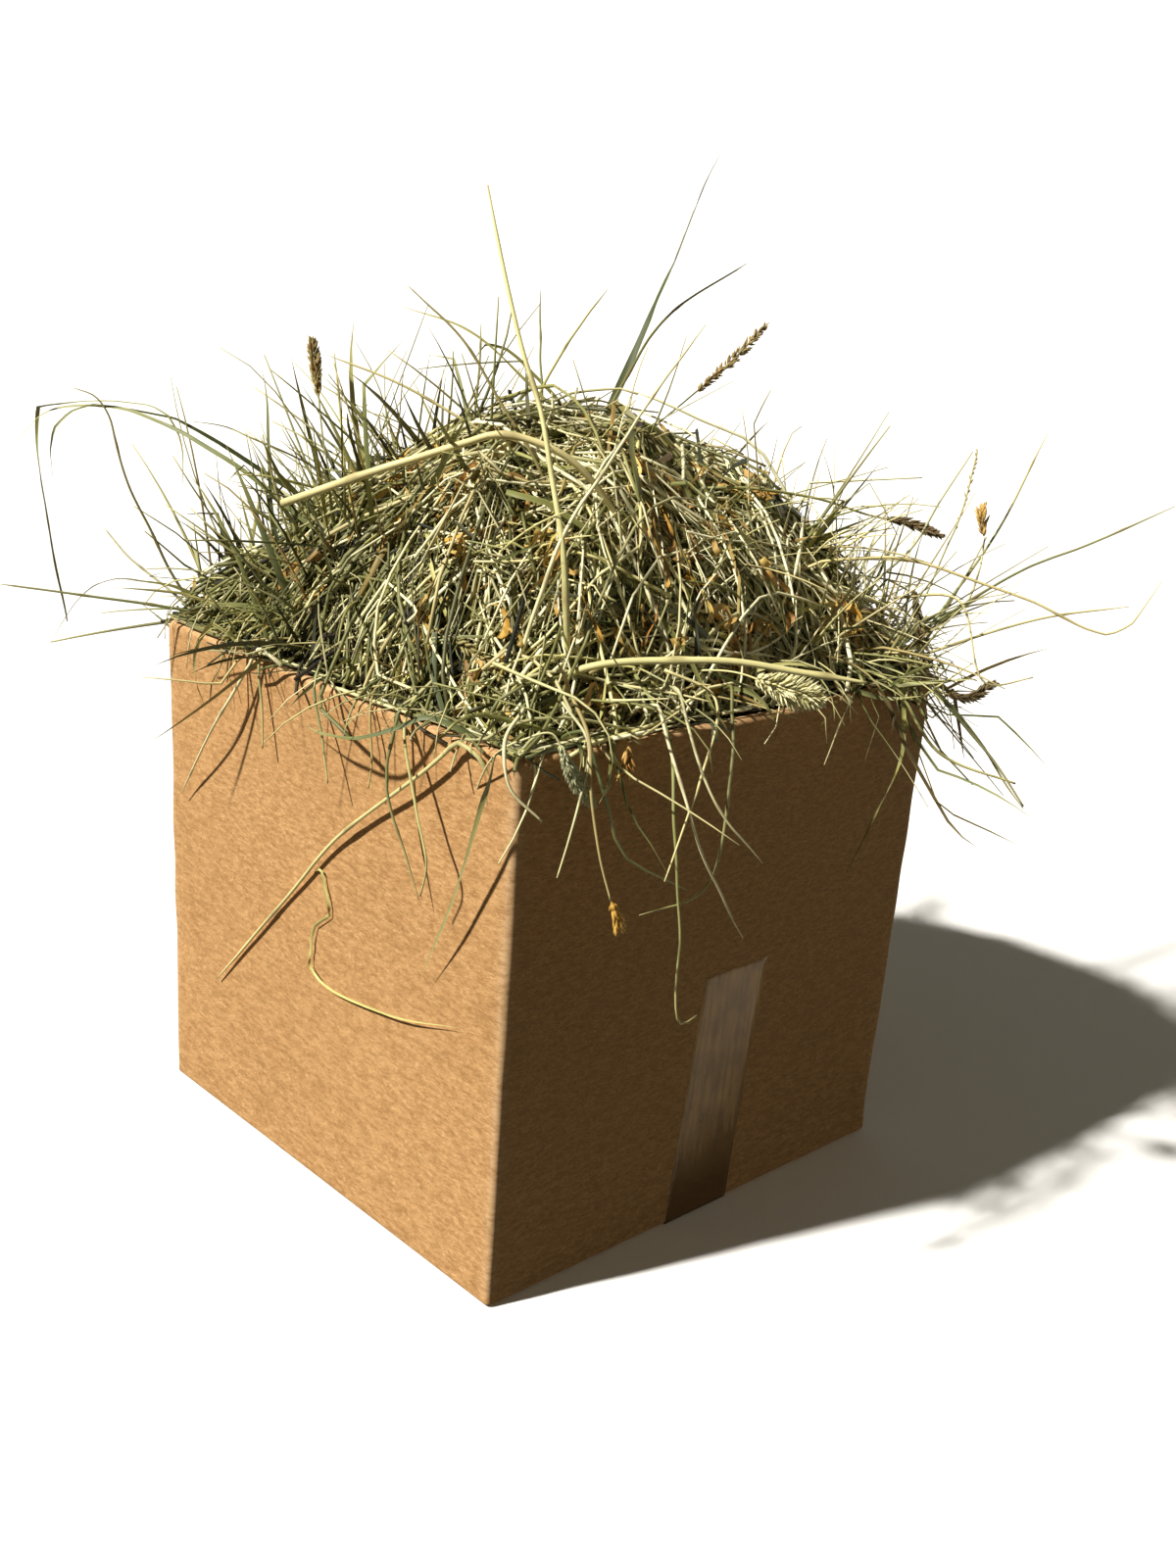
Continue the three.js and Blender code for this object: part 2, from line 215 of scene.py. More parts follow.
def kraft_paper():
    """Brown liner board: short fibres lying across the wall, cloudy pulp, dark specks, and
    the faint ribs of the upright flutes beneath."""
    n = Nodes("kraft_board")
    fibres = n.noise(n.place((420, 420, 1500)), 1.0, 4, 0.65)
    clouds = n.noise(n.place((150, 150, 430)), 1.0, 4, 0.65)
    stains = n.noise(n.place((7, 7, 9)), 1.0, 2, 0.5)
    specks = n.noise(n.place((900, 900, 1600)), 1.0, 1, 0.5)
    colour = n.ramp(fibres, (0.34, KRAFT_DARK), (0.47, KRAFT), (0.55, KRAFT), (0.68, KRAFT_PALE))
    cloud_stops = (0.36, (0.72, 0.69, 0.63)), (0.5, (0.96, 0.96, 0.96)), (0.62, (1.18, 1.22, 1.30))
    colour = n.mix(0.85, colour, n.ramp(clouds, *cloud_stops), "MULTIPLY")
    stain_tone = n.ramp(stains, (0.3, (0.93, 0.92, 0.90)), (0.7, (1, 1, 1)))
    colour = n.mix(0.8, colour, stain_tone, "MULTIPLY")
    speck_fac = n.ramp(specks, (0.235, 1.0), (0.27, 0.0))
    colour = n.mix(n.math("MULTIPLY", speck_fac, 0.55), colour, (0.16, 0.075, 0.03))
    # Paler board where rubbed along the creases, rim and foot, with a painted highlight along the creases
    # and the rim
    wear_and_highlight = n.ramp(n.attribute("wear_and_highlight"), (0.0, 0.0), (1.0, 1.0))
    worn_and_highlit = n.math("MULTIPLY", wear_and_highlight, n.ramp(clouds, (0.35, 0.2), (0.65, 0.85)))
    colour = n.mix(worn_and_highlit, colour, (0.58, 0.39, 0.215))
    n.set(Base_Color=colour, Roughness=n.ramp(clouds, (0.3, 0.78), (0.7, 0.9)), Specular_IOR_Level=0.25)
    across = n.add("ShaderNodeSeparateXYZ", Vector=n.add("ShaderNodeTexCoord").outputs["Object"])
    along_wall = n.math("ADD", across.outputs[0], across.outputs[1])
    flutes = n.math("SINE", n.math("MULTIPLY", along_wall, 2 * math.pi / FLUTE_PITCH))
    pulp = n.math("ADD", fibres, n.math("MULTIPLY", clouds, 0.8))
    relief = n.math("ADD", n.math("MULTIPLY", flutes, 0.22), pulp)
    n.bump(relief, 0.16 * MM, 0.55)
    return n.material


def packing_tape():
    """Clear film: milky, streaked and patchy above its lowest few centimetres, and darker and nearly clear
    below them.
    """
    n = Nodes("clear_tape")
    streaks = n.noise(n.place((260, 260, 26)), 1.0, 3, 0.6)
    patches = n.noise(n.place((55, 55, 38)), 1.0, 3, 0.6)
    height = n.add("ShaderNodeSeparateXYZ", Vector=n.add("ShaderNodeTexCoord").outputs["Object"]).outputs[2]
    ragged = n.math("ADD", height, n.math("MULTIPLY", n.math("SUBTRACT", patches, 0.5), 0.03))
    # Milky from a few centimetres up; darker and nearly clear below that
    haze_by_height = n.ramp(n.math("MULTIPLY", ragged, 5.0), (0.10, 0.0), (0.36, 1.0))
    streaky = n.ramp(streaks, (0.36, 0.5), (0.6, 1.0))
    patchy = n.ramp(patches, (0.38, 0.55), (0.58, 1.0))
    haze = n.math("MULTIPLY", haze_by_height, n.math("MULTIPLY", streaky, patchy))
    colour = n.mix(haze, (0.205, 0.110, 0.036), (0.90, 0.57, 0.22))
    n.set(Base_Color=colour, Roughness=0.3, Alpha=0.52, Specular_IOR_Level=0.35)
    n.bump(n.math("ADD", streaks, patches), 0.15 * MM, 0.5)
    return n.material


def hay_material(name, tints, tip, roughness):
    """Dried grass. Each strand keeps one tint from the list, fades towards its tip, and is
    streaked along its length."""
    n = Nodes(name)
    stops = [((index + 0.5) / len(tints), colour) for index, colour in enumerate(tints)]
    colour = n.ramp(n.attribute("tint"), *stops)
    blotch = n.noise(n.place((90, 90, 90)), 1.0, 3, 0.6)
    blotch_tone = n.ramp(blotch, (0.32, (0.62, 0.62, 0.55)), (0.6, (1.05, 1.05, 1.05)))
    colour = n.mix(0.5, colour, blotch_tone, "MULTIPLY")
    ageing = n.math("MULTIPLY", n.ramp(n.attribute("along"), (0.55, 0.0), (1.0, 1.0)), 0.55)
    colour = n.mix(ageing, colour, tip)
    around, along, own = (n.attribute(name) for name in ("around", "along", "tint"))
    strand = n.add("ShaderNodeCombineXYZ", X=around, Y=along, Z=own)
    stretched = n.add("ShaderNodeMapping", Vector=strand.outputs[0], Scale=(7, 4, 60)).outputs[0]
    streak = n.noise(stretched, 1.0, 2, 0.6)
    streak_tone = n.ramp(streak, (0.36, (0.66, 0.66, 0.6)), (0.56, (1.0, 1.0, 1.0)))
    colour = n.mix(0.5, colour, streak_tone, "MULTIPLY")
    joint = n.math("MULTIPLY", n.attribute("joint"), 0.55)
    colour = n.mix(joint, colour, srgb(120, 100, 54))
    n.set(Base_Color=colour, Roughness=roughness, Specular_IOR_Level=0.4)
    n.bump(streak, 0.1 * MM, 0.35)
    return n.material


# ---------------------------------------------------------------- the carton


def smooth_noise(x, y, z, seed, scale):
    """A smooth value in about -1 to 1 at each point, from a few crossed waves."""
    rng = np.random.default_rng(seed)
    total = 0.0
    for _ in range(6):
        wave = rng.normal(size=3) / scale
        total = total + np.sin(wave[0] * x + wave[1] * y + wave[2] * z + rng.uniform(0, 6.28))
    return total / 2.6


def bulged(points):
    """Pushes the upper walls out as the hay does, most at the middle of each rim."""
    points = points.copy()
    zone = HALF - 12 * MM
    start = points.copy()
    for (axis, side), bow in BOW.items():
        across = start[..., 1 - axis]
        swell = np.maximum(0, 1 - (across / HALF) ** 2) * np.clip(start[..., 2] / RIM, 0, 1.05) ** 2
        in_zone = start[..., axis] * side > zone
        points[..., axis] += np.where(in_zone, side * bow * swell, 0)
    return points


def crushed(points):
    """Small dents along the upright creases, and the slack of the board between them."""
    x, y, z = points[..., 0], points[..., 1], points[..., 2]
    corner = np.exp(-(((HALF - np.abs(x)) ** 2 + (HALF - np.abs(y)) ** 2) / (7 * MM) ** 2))
    dents = smooth_noise(x, y, z, 5, 5 * MM) * 0.22 * MM + smooth_noise(x, y, z, 6, 16 * MM) * 0.15 * MM
    slack = smooth_noise(x, y, z, 7, 60 * MM) * 0.35 * MM
    inward = np.stack([-np.sign(x), -np.sign(y), 0 * z], -1)
    on_end = (np.abs(x) > np.abs(y))[..., None]
    facing = np.where(on_end, inward * (1, 0, 0), inward * (0, 1, 0))
    low = np.clip(z / (20 * MM), 0, 1)
    moved = points + inward * (corner * (0.5 * MM + dents) * low)[..., None]
    return moved + facing * (slack * low * (1 - corner))[..., None]


QUARTER = 1.571  # a quarter turn, in radians


def wall_profile():
    """How far in from the outside, and how high, the board's skin runs: out of the bottom
    crease, up the outside, over the rolled rim and down the folded flap."""
    fold = 2 * BOARD + FOLD_GAP
    crease, roll = 2.5 * MM, 3.6 * MM
    turn, bend = np.linspace(0, QUARTER, 6), np.linspace(0, QUARTER, 7)
    bottom = [(crease * (1 - math.sin(a)), UNDERSIDE + crease * (1 - math.cos(a))) for a in turn]
    rise = [(0.0, z) for z in np.linspace(UNDERSIDE + crease + 2 * MM, RIM - roll - 1 * MM, 62)]
    outer = [(roll * (1 - math.cos(a)), RIM - roll * (1 - math.sin(a))) for a in bend]
    inner = [(fold - roll * (1 - math.sin(a)), RIM - roll * (1 - math.cos(a))) for a in bend]
    down = [(fold, z) for z in np.linspace(RIM - 8 * MM, FLAP_FOOT, 24)]
    inside = [(BOARD, FLAP_FOOT - 0.5 * MM), (BOARD, FLAP_FOOT / 2), (BOARD, UNDERSIDE)]
    return bottom + rise + outer + inner + down + inside


def carton_ring(inset, across, around):
    """Places round the carton, this far in from the outside: stations along the four walls
    and round the four creases. Across runs -1 to 1 along a wall, around 0 to 1 in a crease."""
    radius = max(3 * MM - inset, 0.3 * MM)
    reach = HALF - inset - radius
    wall = np.stack([np.full(len(across), HALF - inset), across * reach], -1)
    angle = around * math.pi / 2
    crease = np.stack([reach + radius * np.cos(angle), reach + radius * np.sin(angle)], -1)
    quarter = np.concatenate([wall, crease])
    turns = []
    for quarter_turns in range(4):
        c, s = [(1, 0), (0, 1), (-1, 0), (0, -1)][quarter_turns]
        turns.append(quarter @ np.array([[c, s], [-s, c]]))
    return np.concatenate(turns)


def build_walls(kraft):
    """Walls and folded top flaps as the one sheet they are, creased at the corners."""
    across = np.sin(np.linspace(-1, 1, 81) * math.pi / 2 * 0.97) / math.sin(math.pi / 2 * 0.97)
    around = np.linspace(0, 1, 7)[1:-1]
    profile = wall_profile()
    rings = []
    for inset, height in profile:
        ring = carton_ring(inset, across, around)
        rings.append(np.column_stack([ring, np.full(len(ring), height)]))
    points = np.array(rings)
    sides = points.shape[1]
    from_corner = (HALF - np.abs(points[..., 0])) ** 2 + (HALF - np.abs(points[..., 1])) ** 2
    notch = np.exp(-(from_corner / (5 * MM) ** 2))
    near_rim = np.clip((points[..., 2] - RIM + 8 * MM) / (8 * MM), 0, 1)
    points[..., 2] -= notch * near_rim * 1.6 * MM
    uneven = smooth_noise(points[..., 0], points[..., 1], 0 * points[..., 2], 9, 45 * MM)
    points[..., 2] += near_rim * uneven * 0.5 * MM
    points = crushed(bulged(points))
    faces = ring_faces(len(profile) + 1, sides)
    faces = faces % (len(profile) * sides)
    piece = new_piece(
        "kraft_walls",
        points.reshape(-1, 3),
        [faces],
        kraft,
        [node for node in frame["nodes"] if node.startswith(("wall_", "top_flap_"))],
    )
    height = points[..., 2]
    # Where the board is drawn paler: rubbed creases, rim and foot, and along the creases and the rim also a
    # painted highlight
    crease_wear_and_highlight = notch * (height > 6 * MM)
    rim_wear_and_highlight = np.exp(-(((height - RIM) / (2 * MM)) ** 2)) * 0.7
    foot_wear = np.exp(-(((height - UNDERSIDE) / (1.5 * MM)) ** 2)) * 0.5
    add_floats(piece.data, "wear_and_highlight", np.maximum(np.maximum(crease_wear_and_highlight, rim_wear_and_highlight), foot_wear).ravel())
    fix_normals(piece)


def build_tape(film):
    """One strip up both end walls and across the bottom seam, hugging the board."""
    rise = np.linspace(0, TAPE_TOP, 52)[1:]
    under = np.linspace(-HALF, HALF, 30)
    route = [(-1, z) for z in rise[::-1]] + [(0, x) for x in under] + [(1, z) for z in rise]
    columns = 15
    across = np.linspace(-1, 1, columns)
    rows = []
    for side, value in route:
        if side == 0:
            x = np.full(columns, value)
            rows.append(np.stack([x, across * TAPE_WIDTH / 2, 0 * x], -1))
        else:
            cut = (abs(value - TAPE_TOP) < 1e-9) * (np.arange(columns) % 2) * 0.9 * MM
            lean = side * TAPE_LEAN * value / TAPE_TOP
            x = np.full(columns, side * HALF)
            rows.append(np.stack([x, across * TAPE_WIDTH / 2 + lean, value - cut], -1))
    rows = np.array(rows)
    on_wall = np.repeat(np.array([side for side, _ in route], float)[:, None], columns, 1)
    inner = crushed(bulged(rows))
    offset = np.stack([on_wall, 0 * on_wall, np.abs(on_wall) - 1], -1)
    inner[..., 2] += np.where(on_wall == 0, UNDERSIDE - 0.1 * MM, 0)
    inner = inner + offset * 0.05 * MM
    outer = inner + offset * TAPE_THICKNESS
    count = len(route) * columns
    top = ring_faces(len(route), columns, closed=False)
    flip = top[:, ::-1] + count
    ids = np.arange(count).reshape(len(route), columns)
    rim = np.concatenate([ids[0], ids[1:, -1], ids[-1, ::-1][1:], ids[::-1, 0][1:-1]])
    after = np.roll(rim, -1)
    walls = np.stack([rim, after, after + count, rim + count], -1)
    verts = np.concatenate([outer.reshape(-1, 3), inner.reshape(-1, 3)])
    piece = new_piece("tape_film", verts, [top, flip, walls[:, ::-1]], film, ["clear_tape"])
    fix_normals(piece)


def fix_normals(piece):
    """Turns every face of a closed piece to face outwards."""
    work = bmesh.new()
    work.from_mesh(piece.data)
    bmesh.ops.recalc_face_normals(work, faces=work.faces)
    work.to_mesh(piece.data)
    work.free()


# ---------------------------------------------------------------- grass

# Cross-sections, in half-widths: across, then up
PLAIN = np.array([(1, -0.58), (-1, -0.58), (0, 1.15)]) * 0.85
STEM = np.array([(1, 0), (0, -1), (-1, 0), (0, 1)], float)
TUBE = np.array([(math.cos(a), -math.sin(a)) for a in np.linspace(0, 2 * math.pi, 9)[:-1]])
BLADE = np.array([(1, 0.36), (0, -0.10), (-1, 0.36), (0, 0.08)])


def unit(vectors):
    return vectors / np.maximum(np.linalg.norm(vectors, axis=-1, keepdims=True), 1e-9)


def frames(paths):
    """Sideways and upward directions along each path."""
    along = unit(np.gradient(paths, axis=1))
    steep = np.abs(along[:, :, 2].mean(1)) > 0.75
    reference = np.where(steep[:, None], (1.0, 0.05, 0.0), (0.03, 0.02, 1.0))[:, None, :]
    side = unit(np.cross(along, reference))
    return side, np.cross(side, along)


def sweep(paths, widths, section, roll):
    """Cross-sections along each path: (strand, ring, corner, xyz)."""
    side, lift = frames(paths)
    c, s = np.cos(roll)[..., None], np.sin(roll)[..., None]
    side, lift = side * c + lift * s, lift * c - side * s
    offset = section[None, None, :, :1] * side[:, :, None] + section[None, None, :, 1:] * lift[:, :, None]
    return paths[:, :, None] + offset * widths[:, :, None, None]


def strand_faces(rings, sides):
    """One strand's quads and two end caps, and each corner's place in the strand's own cell."""
    quads = ring_faces(rings, sides)
    side = np.tile(np.arange(sides), rings - 1)
    ring = np.repeat(np.arange(rings - 1), sides)
    u = np.stack([side, side + 1, side + 1, side], 1) / sides
    v = np.stack([ring, ring, ring + 1, ring + 1], 1) / (rings - 1)
    turn = np.arange(sides) / sides * 2 * math.pi
    cap = np.stack([0.5 + 0.04 * np.cos(turn), 0.05 + 0.04 * np.sin(turn)], -1)
    caps = np.array([np.arange(sides)[::-1], (rings - 1) * sides + np.arange(sides)])
    places = np.array([cap[::-1], cap + (0, 0.9)])
    return quads, np.stack([0.06 + 0.88 * u, 0.12 + 0.76 * v], -1), caps, places


def grass(name, paths, widths, section, roll, tint, material, replaced=(), marks=None):
    """Many strands as one mesh, each with its tint and with its own cell in one UV map."""
    strands, rings, sides = len(paths), paths.shape[1], len(section)
    verts = sweep(paths, widths, section, roll).reshape(-1, 3)
    quads, quad_places, caps, cap_places = strand_faces(rings, sides)
    shift = (np.arange(strands) * rings * sides)[:, None, None]
    all_quads = (quads[None] + shift).reshape(-1, 4)
    all_caps = (caps[None] + shift).reshape(-1, sides)
    piece = new_piece(name, verts, [all_quads, all_caps], material, replaced)
    mesh = piece.data
    add_floats(mesh, "tint", np.repeat(tint, rings * sides))
    add_floats(mesh, "along", np.tile(np.repeat(np.linspace(0, 1, rings), sides), strands))
    add_floats(mesh, "around", np.tile(np.arange(sides) / sides, strands * rings))
    if marks is not None:
        add_floats(mesh, "joint", np.repeat(marks.ravel(), sides))
    grid = math.ceil(math.sqrt(strands))
    cell = np.stack([np.arange(strands) % grid, np.arange(strands) // grid], -1)
    quad_uv = (quad_places[None] + cell[:, None, None]).reshape(-1, 2) / grid
    cap_uv = (cap_places[None] + cell[:, None, None]).reshape(-1, 2) / grid
    layer = mesh.uv_layers.new(name="OFBake")
    layer.data.foreach_set("uv", np.concatenate([quad_uv, cap_uv]).astype(np.float32).ravel())
    if section is BLADE:
        sharpen_sides(mesh, sides)
    return piece


def add_floats(mesh, name, values):
    mesh.attributes.new(name, "FLOAT", "POINT").data.foreach_set("value", values.astype(np.float32))


def sharpen_sides(mesh, sides):
    """A blade's two long edges shade as creases."""
    ends = np.empty(len(mesh.edges) * 2, np.int32)
    mesh.edges.foreach_get("vertices", ends)
    corner = ends.reshape(-1, 2) % sides
    sharp = (corner[:, 0] == corner[:, 1]) & (corner[:, 0] % 2 == 0)
    mesh.attributes.new("sharp_edge", "BOOLEAN", "EDGE").data.foreach_set("value", sharp)


def heap_height(x, y):
    """The heap's top over a point. It sinks a little below the rim at its edge."""
    a = np.minimum(np.abs(x) / HEAP_HALF, 1)
    b = np.minimum(np.abs(y) / HEAP_HALF, 1)
    near_corner = np.clip((x - y) / (1.3 * HEAP_HALF), 0, 1)
    power = 3.2 - 1.1 * near_corner
    dome = ((1 - a ** (power - 0.8 * (x > 0))) * (1 - b**power)) ** 0.8
    left_corner = np.exp(-((x + HEAP_HALF) ** 2 + (y + HEAP_HALF) ** 2) / (140 * MM) ** 2)
    right_corner = np.exp(-((x - HEAP_HALF) ** 2 + (y - HEAP_HALF) ** 2) / (115 * MM) ** 2)
    dome = dome * (1 - 0.66 * left_corner) * (1 - 0.55 * right_corner)
    lumps = smooth_noise(x, y, 0 * x, 21, 26 * MM) * 11 * MM
    lumps = lumps + smooth_noise(x, y, 0 * x, 23, 11 * MM) * 4 * MM
    sunk = 3 * MM + 14 * MM * np.clip(x / HEAP_HALF, 0, 1) ** 6 + 14 * MM * near_corner**5
    return RIM - sunk + (HEAP_TOP - RIM - 16 * MM + lumps) * dome


def wall_face(points):
    """How far out the carton's outer face stands at each point."""
    face = np.full(points.shape[:-1], HALF)
    for (axis, side), bow in BOW.items():
        across = points[..., 1 - axis]
        swell = np.clip(1 - (across / HALF) ** 2, 0, 1) * np.clip(points[..., 2] / RIM, 0, 1) ** 2
        face = np.where(points[..., axis] * side >= np.abs(across), HALF + bow * swell, face)
    return face


def over_rim(paths):
    """Lifts strands that would pass through a wall over its rim."""
    reach = np.abs(paths[..., :2]).max(-1)
    gap = np.maximum(np.maximum(HAY_INSIDE - reach, reach - wall_face(paths) - 1.5 * MM), 0)
    crosses = (reach > HAY_INSIDE).any(1)[:, None]
    needed = RIM + 2.5 * MM - 1.4 * gap
    paths[..., 2] = np.where(crosses, np.maximum(paths[..., 2], needed), paths[..., 2])
    return paths


def kept_in(paths, limit, soft=24 * MM):
    """Bends strands along a limit on each side instead of through it."""
    limit = limit[:, None, None]
    flat = paths[..., :2]
    over = np.maximum(np.abs(flat) - (limit - soft), 0)
    bent = np.sign(flat) * (limit - soft + soft * np.tanh(over / soft))
    paths[..., :2] = np.where(over > 0, bent, flat)
    return paths


def headings(rng, start, rings, bend, kinked):
    """Each strand's heading at each ring: a curve, and a sharp kink in some."""
    count = len(start)
    place = np.linspace(-0.5, 0.5, rings)[None]
    curve = rng.normal(0, bend, (count, 1)) * place + rng.normal(0, bend * 0.6, (count, 1)) * place**2 * 4
    at = rng.uniform(-0.35, 0.4, (count, 1))
    kink = rng.uniform(0.3, 1.2, (count, 1)) * rng.choice([-1, 1], (count, 1))
    kink = kink * (rng.random((count, 1)) < kinked)
    return start[:, None] + curve + kink * (place > at)


def strewn(rng, count, clusters):
    """Places over the heap, sparser at its left and right corners, and in clusters if any."""
    x, y = rng.uniform(-0.96, 0.96, (2, count)) * HEAP_HALF
    thinned = rng.random(count) < 0.7 * np.clip(np.abs(x + y) / HEAP_HALF - 1.15, 0, 0.4) / 0.4
    x, y = np.where(thinned, x * 0.55, x), np.where(thinned, y * 0.55, y)
    if clusters:
        pick = rng.integers(0, clusters, count)
        x, y = x[pick] + rng.normal(0, 6 * MM, count), y[pick] + rng.normal(0, 6 * MM, count)
    return x, y


def first_headings(rng, x, y):
    """Which way each strand lies: with its clump, along the nearest wall, or up the slope."""
    count = len(x)
    clump = 3.0 * smooth_noise(x, y, 0 * x, 22, 34 * MM)
    edge = np.clip((np.maximum(np.abs(x), np.abs(y)) / HEAP_HALF - 0.5) / 0.4, 0, 1)
    along_edge = np.where(np.abs(x) > np.abs(y), math.pi / 2, 0) + rng.normal(0, 0.45, count)
    start = np.where(rng.random(count) < 0.45 * edge, along_edge, clump + rng.normal(0, 0.5, count))
    uphill = np.arctan2(-y, -x) + rng.normal(0, 0.5, count)
    sunny = np.clip(0.75 * (-x - y) / HEAP_HALF + 0.15, 0, 0.62)
    return np.where(rng.random(count) < sunny, uphill, start)


def lying_heights(rng, flat, x, step, depth, stiff, poke):
    """How high each strand runs: on the surface where limp, on its slope's line where stiff."""
    count, rings = flat.shape[:2]
    run = (np.arange(rings) - (rings - 1) / 2)[None] * step
    surface = heap_height(flat[..., 0], flat[..., 1])
    middle = rings // 2
    slope = (surface[:, middle + 1] - surface[:, middle - 1])[:, None] / (2 * step)
    line = surface[:, middle : middle + 1] + np.clip(slope, -0.9, 0.9) * run
    stiff = rng.uniform(*stiff, (count, 1))
    upright = np.clip(-x / HEAP_HALF - 0.05, 0, 0.5)[:, None] * 2
    pitch = rng.normal(0, 0.10, (count, 1)) * (1 + 2 * upright)
    pitch = pitch + rng.normal(0, 0.4, (count, 1)) * (rng.random((count, 1)) < poke)
    loose = np.where(depth < 0, 1 + 1.6 * np.clip(x / HEAP_HALF, 0, 0.8), 1)
    height = surface * (1 - stiff) + line * stiff - (depth * loose)[:, None] + pitch * run
    ceiling = rng.uniform(3, 13, (count, 1)) ** 1.4 * MM
    above = height - surface
    return np.where(above > 0, surface + ceiling * np.tanh(above / ceiling), height)


def lying(
    rng, count, rings, length, depth, bend=0.7, kinked=0.3, poke=0.05, limit=(-20, -2), clusters=0,
    stiff=(0.3, 0.9),
):
    """Paths that lie about the heap's surface, each kept within a limit near the walls."""
    x, y = strewn(rng, count, clusters)
    angle = headings(rng, first_headings(rng, x, y), rings, bend, kinked)
    step = (length / (rings - 1))[:, None]
    flat = np.stack([np.cumsum(np.cos(angle) * step, 1), np.cumsum(np.sin(angle) * step, 1)], -1)
    flat += np.stack([x, y], -1)[:, None] - flat.mean(1, keepdims=True)
    height = lying_heights(rng, flat, x, step, depth, stiff, poke)
    paths = np.concatenate([flat, height[..., None]], -1)
    outer = HALF + rng.uniform(*limit, count) * MM
    outer = outer + rng.uniform(6, 26, count) * MM * (rng.random(count) < 0.05)
    outer = np.where(depth > 30 * MM, HAY_INSIDE, outer)
    return over_rim(kept_in(paths, outer))


def shortened(paths):
    """Draws in, towards its foot, each strand that would leave the CAD model's box."""
    low, high = (np.array(corner) for corner in cad_box)
    reach = paths - paths[:, :1]
    room = np.where(reach > 0, high - paths[:, :1], paths[:, :1] - low)
    share = np.where(np.abs(reach) > 1 * MM, room / np.maximum(np.abs(reach), 1 * MM), 1)
    return paths[:, :1] + reach * np.clip(share.min((1, 2)), 0.2, 1)[:, None, None]


def tapered(rings, width, tip):
    """Half-widths that thin towards the tip."""
    place = np.linspace(0, 1, rings)[None]
    return width[:, None] * (1 - (1 - tip) * place**1.6) / 2


def pointed(widths):
    """Draws the last quarter of each blade in to a point."""
    return widths * (np.minimum(1, (1.02 - np.linspace(0, 1, widths.shape[1])) * 4)[None] + 0.02)


def rolls(rng, count, rings, twist):
    """How far each ring is turned about its strand."""
    start = rng.uniform(0, 2 * math.pi, (count, 1))
    return start + rng.normal(0, twist, (count, 1)) * np.linspace(0, 1, rings)[None]


# Tints that most of a look's strands take on the heap's left side, greener, and darker as painted shade at
# its near corner, and on its right side, paler as painted light where it faces away from the sun
SIDE_TINTS = {"straw": (0.44, 0.19), "green_hay": (0.07, 0.5), "pale_hay": (0.32, 0.44)}


def scatter(rng, name, count, rings, section, sizes, depths, material, slot, twist=0.0, **shape):
    """A piece of loose strands. Sizes are the least and most length and width in mm."""
    length = rng.uniform(sizes[0], sizes[1], count) * MM
    width = rng.uniform(sizes[2], sizes[3], count) * MM
    depth = (depths[0] + (depths[1] - depths[0]) * rng.random(count) ** 1.4) * MM
    paths = lying(rng, count, rings, length, depth, **shape)
    widths = tapered(rings, width, 0.3 if section is BLADE else 0.6)
    if section is BLADE:
        widths = pointed(widths)
    tint = sided_tints(rng, paths[:, rings // 2, :2] / HEAP_HALF, material.name)
    grass(name, paths, widths, section, rolls(rng, count, rings, twist), tint, material)


def sided_tints(rng, middles, look):
    """A tint for each strand: mostly its look's greener one on the heap's left, that darker one as painted
    shade at the near corner, and the paler one as painted light on the right.
    """
    tint = rng.random(len(middles))
    across = middles[:, 0]
    near_corner = across - middles[:, 1] > 1.1
    greener_and_shade_tint, painted_light_tint = SIDE_TINTS.get(look, (tint, tint))
    swapped = rng.random(len(middles)) < 0.6
    # Painted light: the paler tint on the right side, which faces away from the sun
    tint = np.where(swapped & (across > 0.3), painted_light_tint, tint)
    # The greener tint is the left side's own colour; at the near corner it is painted shade
    return np.where(swapped & ((across < 0.15) | near_corner), greener_and_shade_tint, tint)


def tufts(rng, name, centres, per_tuft, rings, section, sizes, material, spread=0.28):
    """Handfuls of strands that share a root and lean. Centres are (x, y, lean_x, lean_y, rise)."""
    centres = np.array(centres, float)
    pick = np.repeat(np.arange(len(centres)), per_tuft)
    count = len(pick)
    root = centres[pick, :2] + rng.normal(0, 9 * MM, (count, 2))
    lean = unit(centres[pick, 2:5] + rng.normal(0, spread, (count, 3)))
    length = rng.uniform(sizes[0], sizes[1], count) * MM
    droop = rng.uniform(0.05, 0.55, (count, 1, 1))
    sway = rng.normal(0, 0.22, (count, 1, 3))
    run = np.linspace(0, 1, rings)[None, :, None]
    kink = (run > rng.uniform(0.4, 0.9, (count, 1, 1))) * (rng.random((count, 1, 1)) < 0.35)
    heading = lean[:, None] + sway * run + np.array([0, 0, -1]) * droop * run**1.5
    heading = unit(heading + kink * rng.normal(0, 0.6, (count, 1, 3)))
    steps = heading * (length / (rings - 1))[:, None, None]
    buried = heap_height(root[:, 0], root[:, 1]) - rng.uniform(15, 45, count) * MM
    foot = np.concatenate([root, buried[:, None]], -1)
    paths = over_rim(shortened(foot[:, None] + np.cumsum(steps, 1) - steps[:, :1]))
    widths = tapered(rings, rng.uniform(sizes[2], sizes[3], count) * MM, 0.35)
    if section is BLADE:
        widths = pointed(widths)
    roll = rolls(rng, count, rings, 0.8)
    grass(name, paths, widths, section, roll, rng.random(count), material)


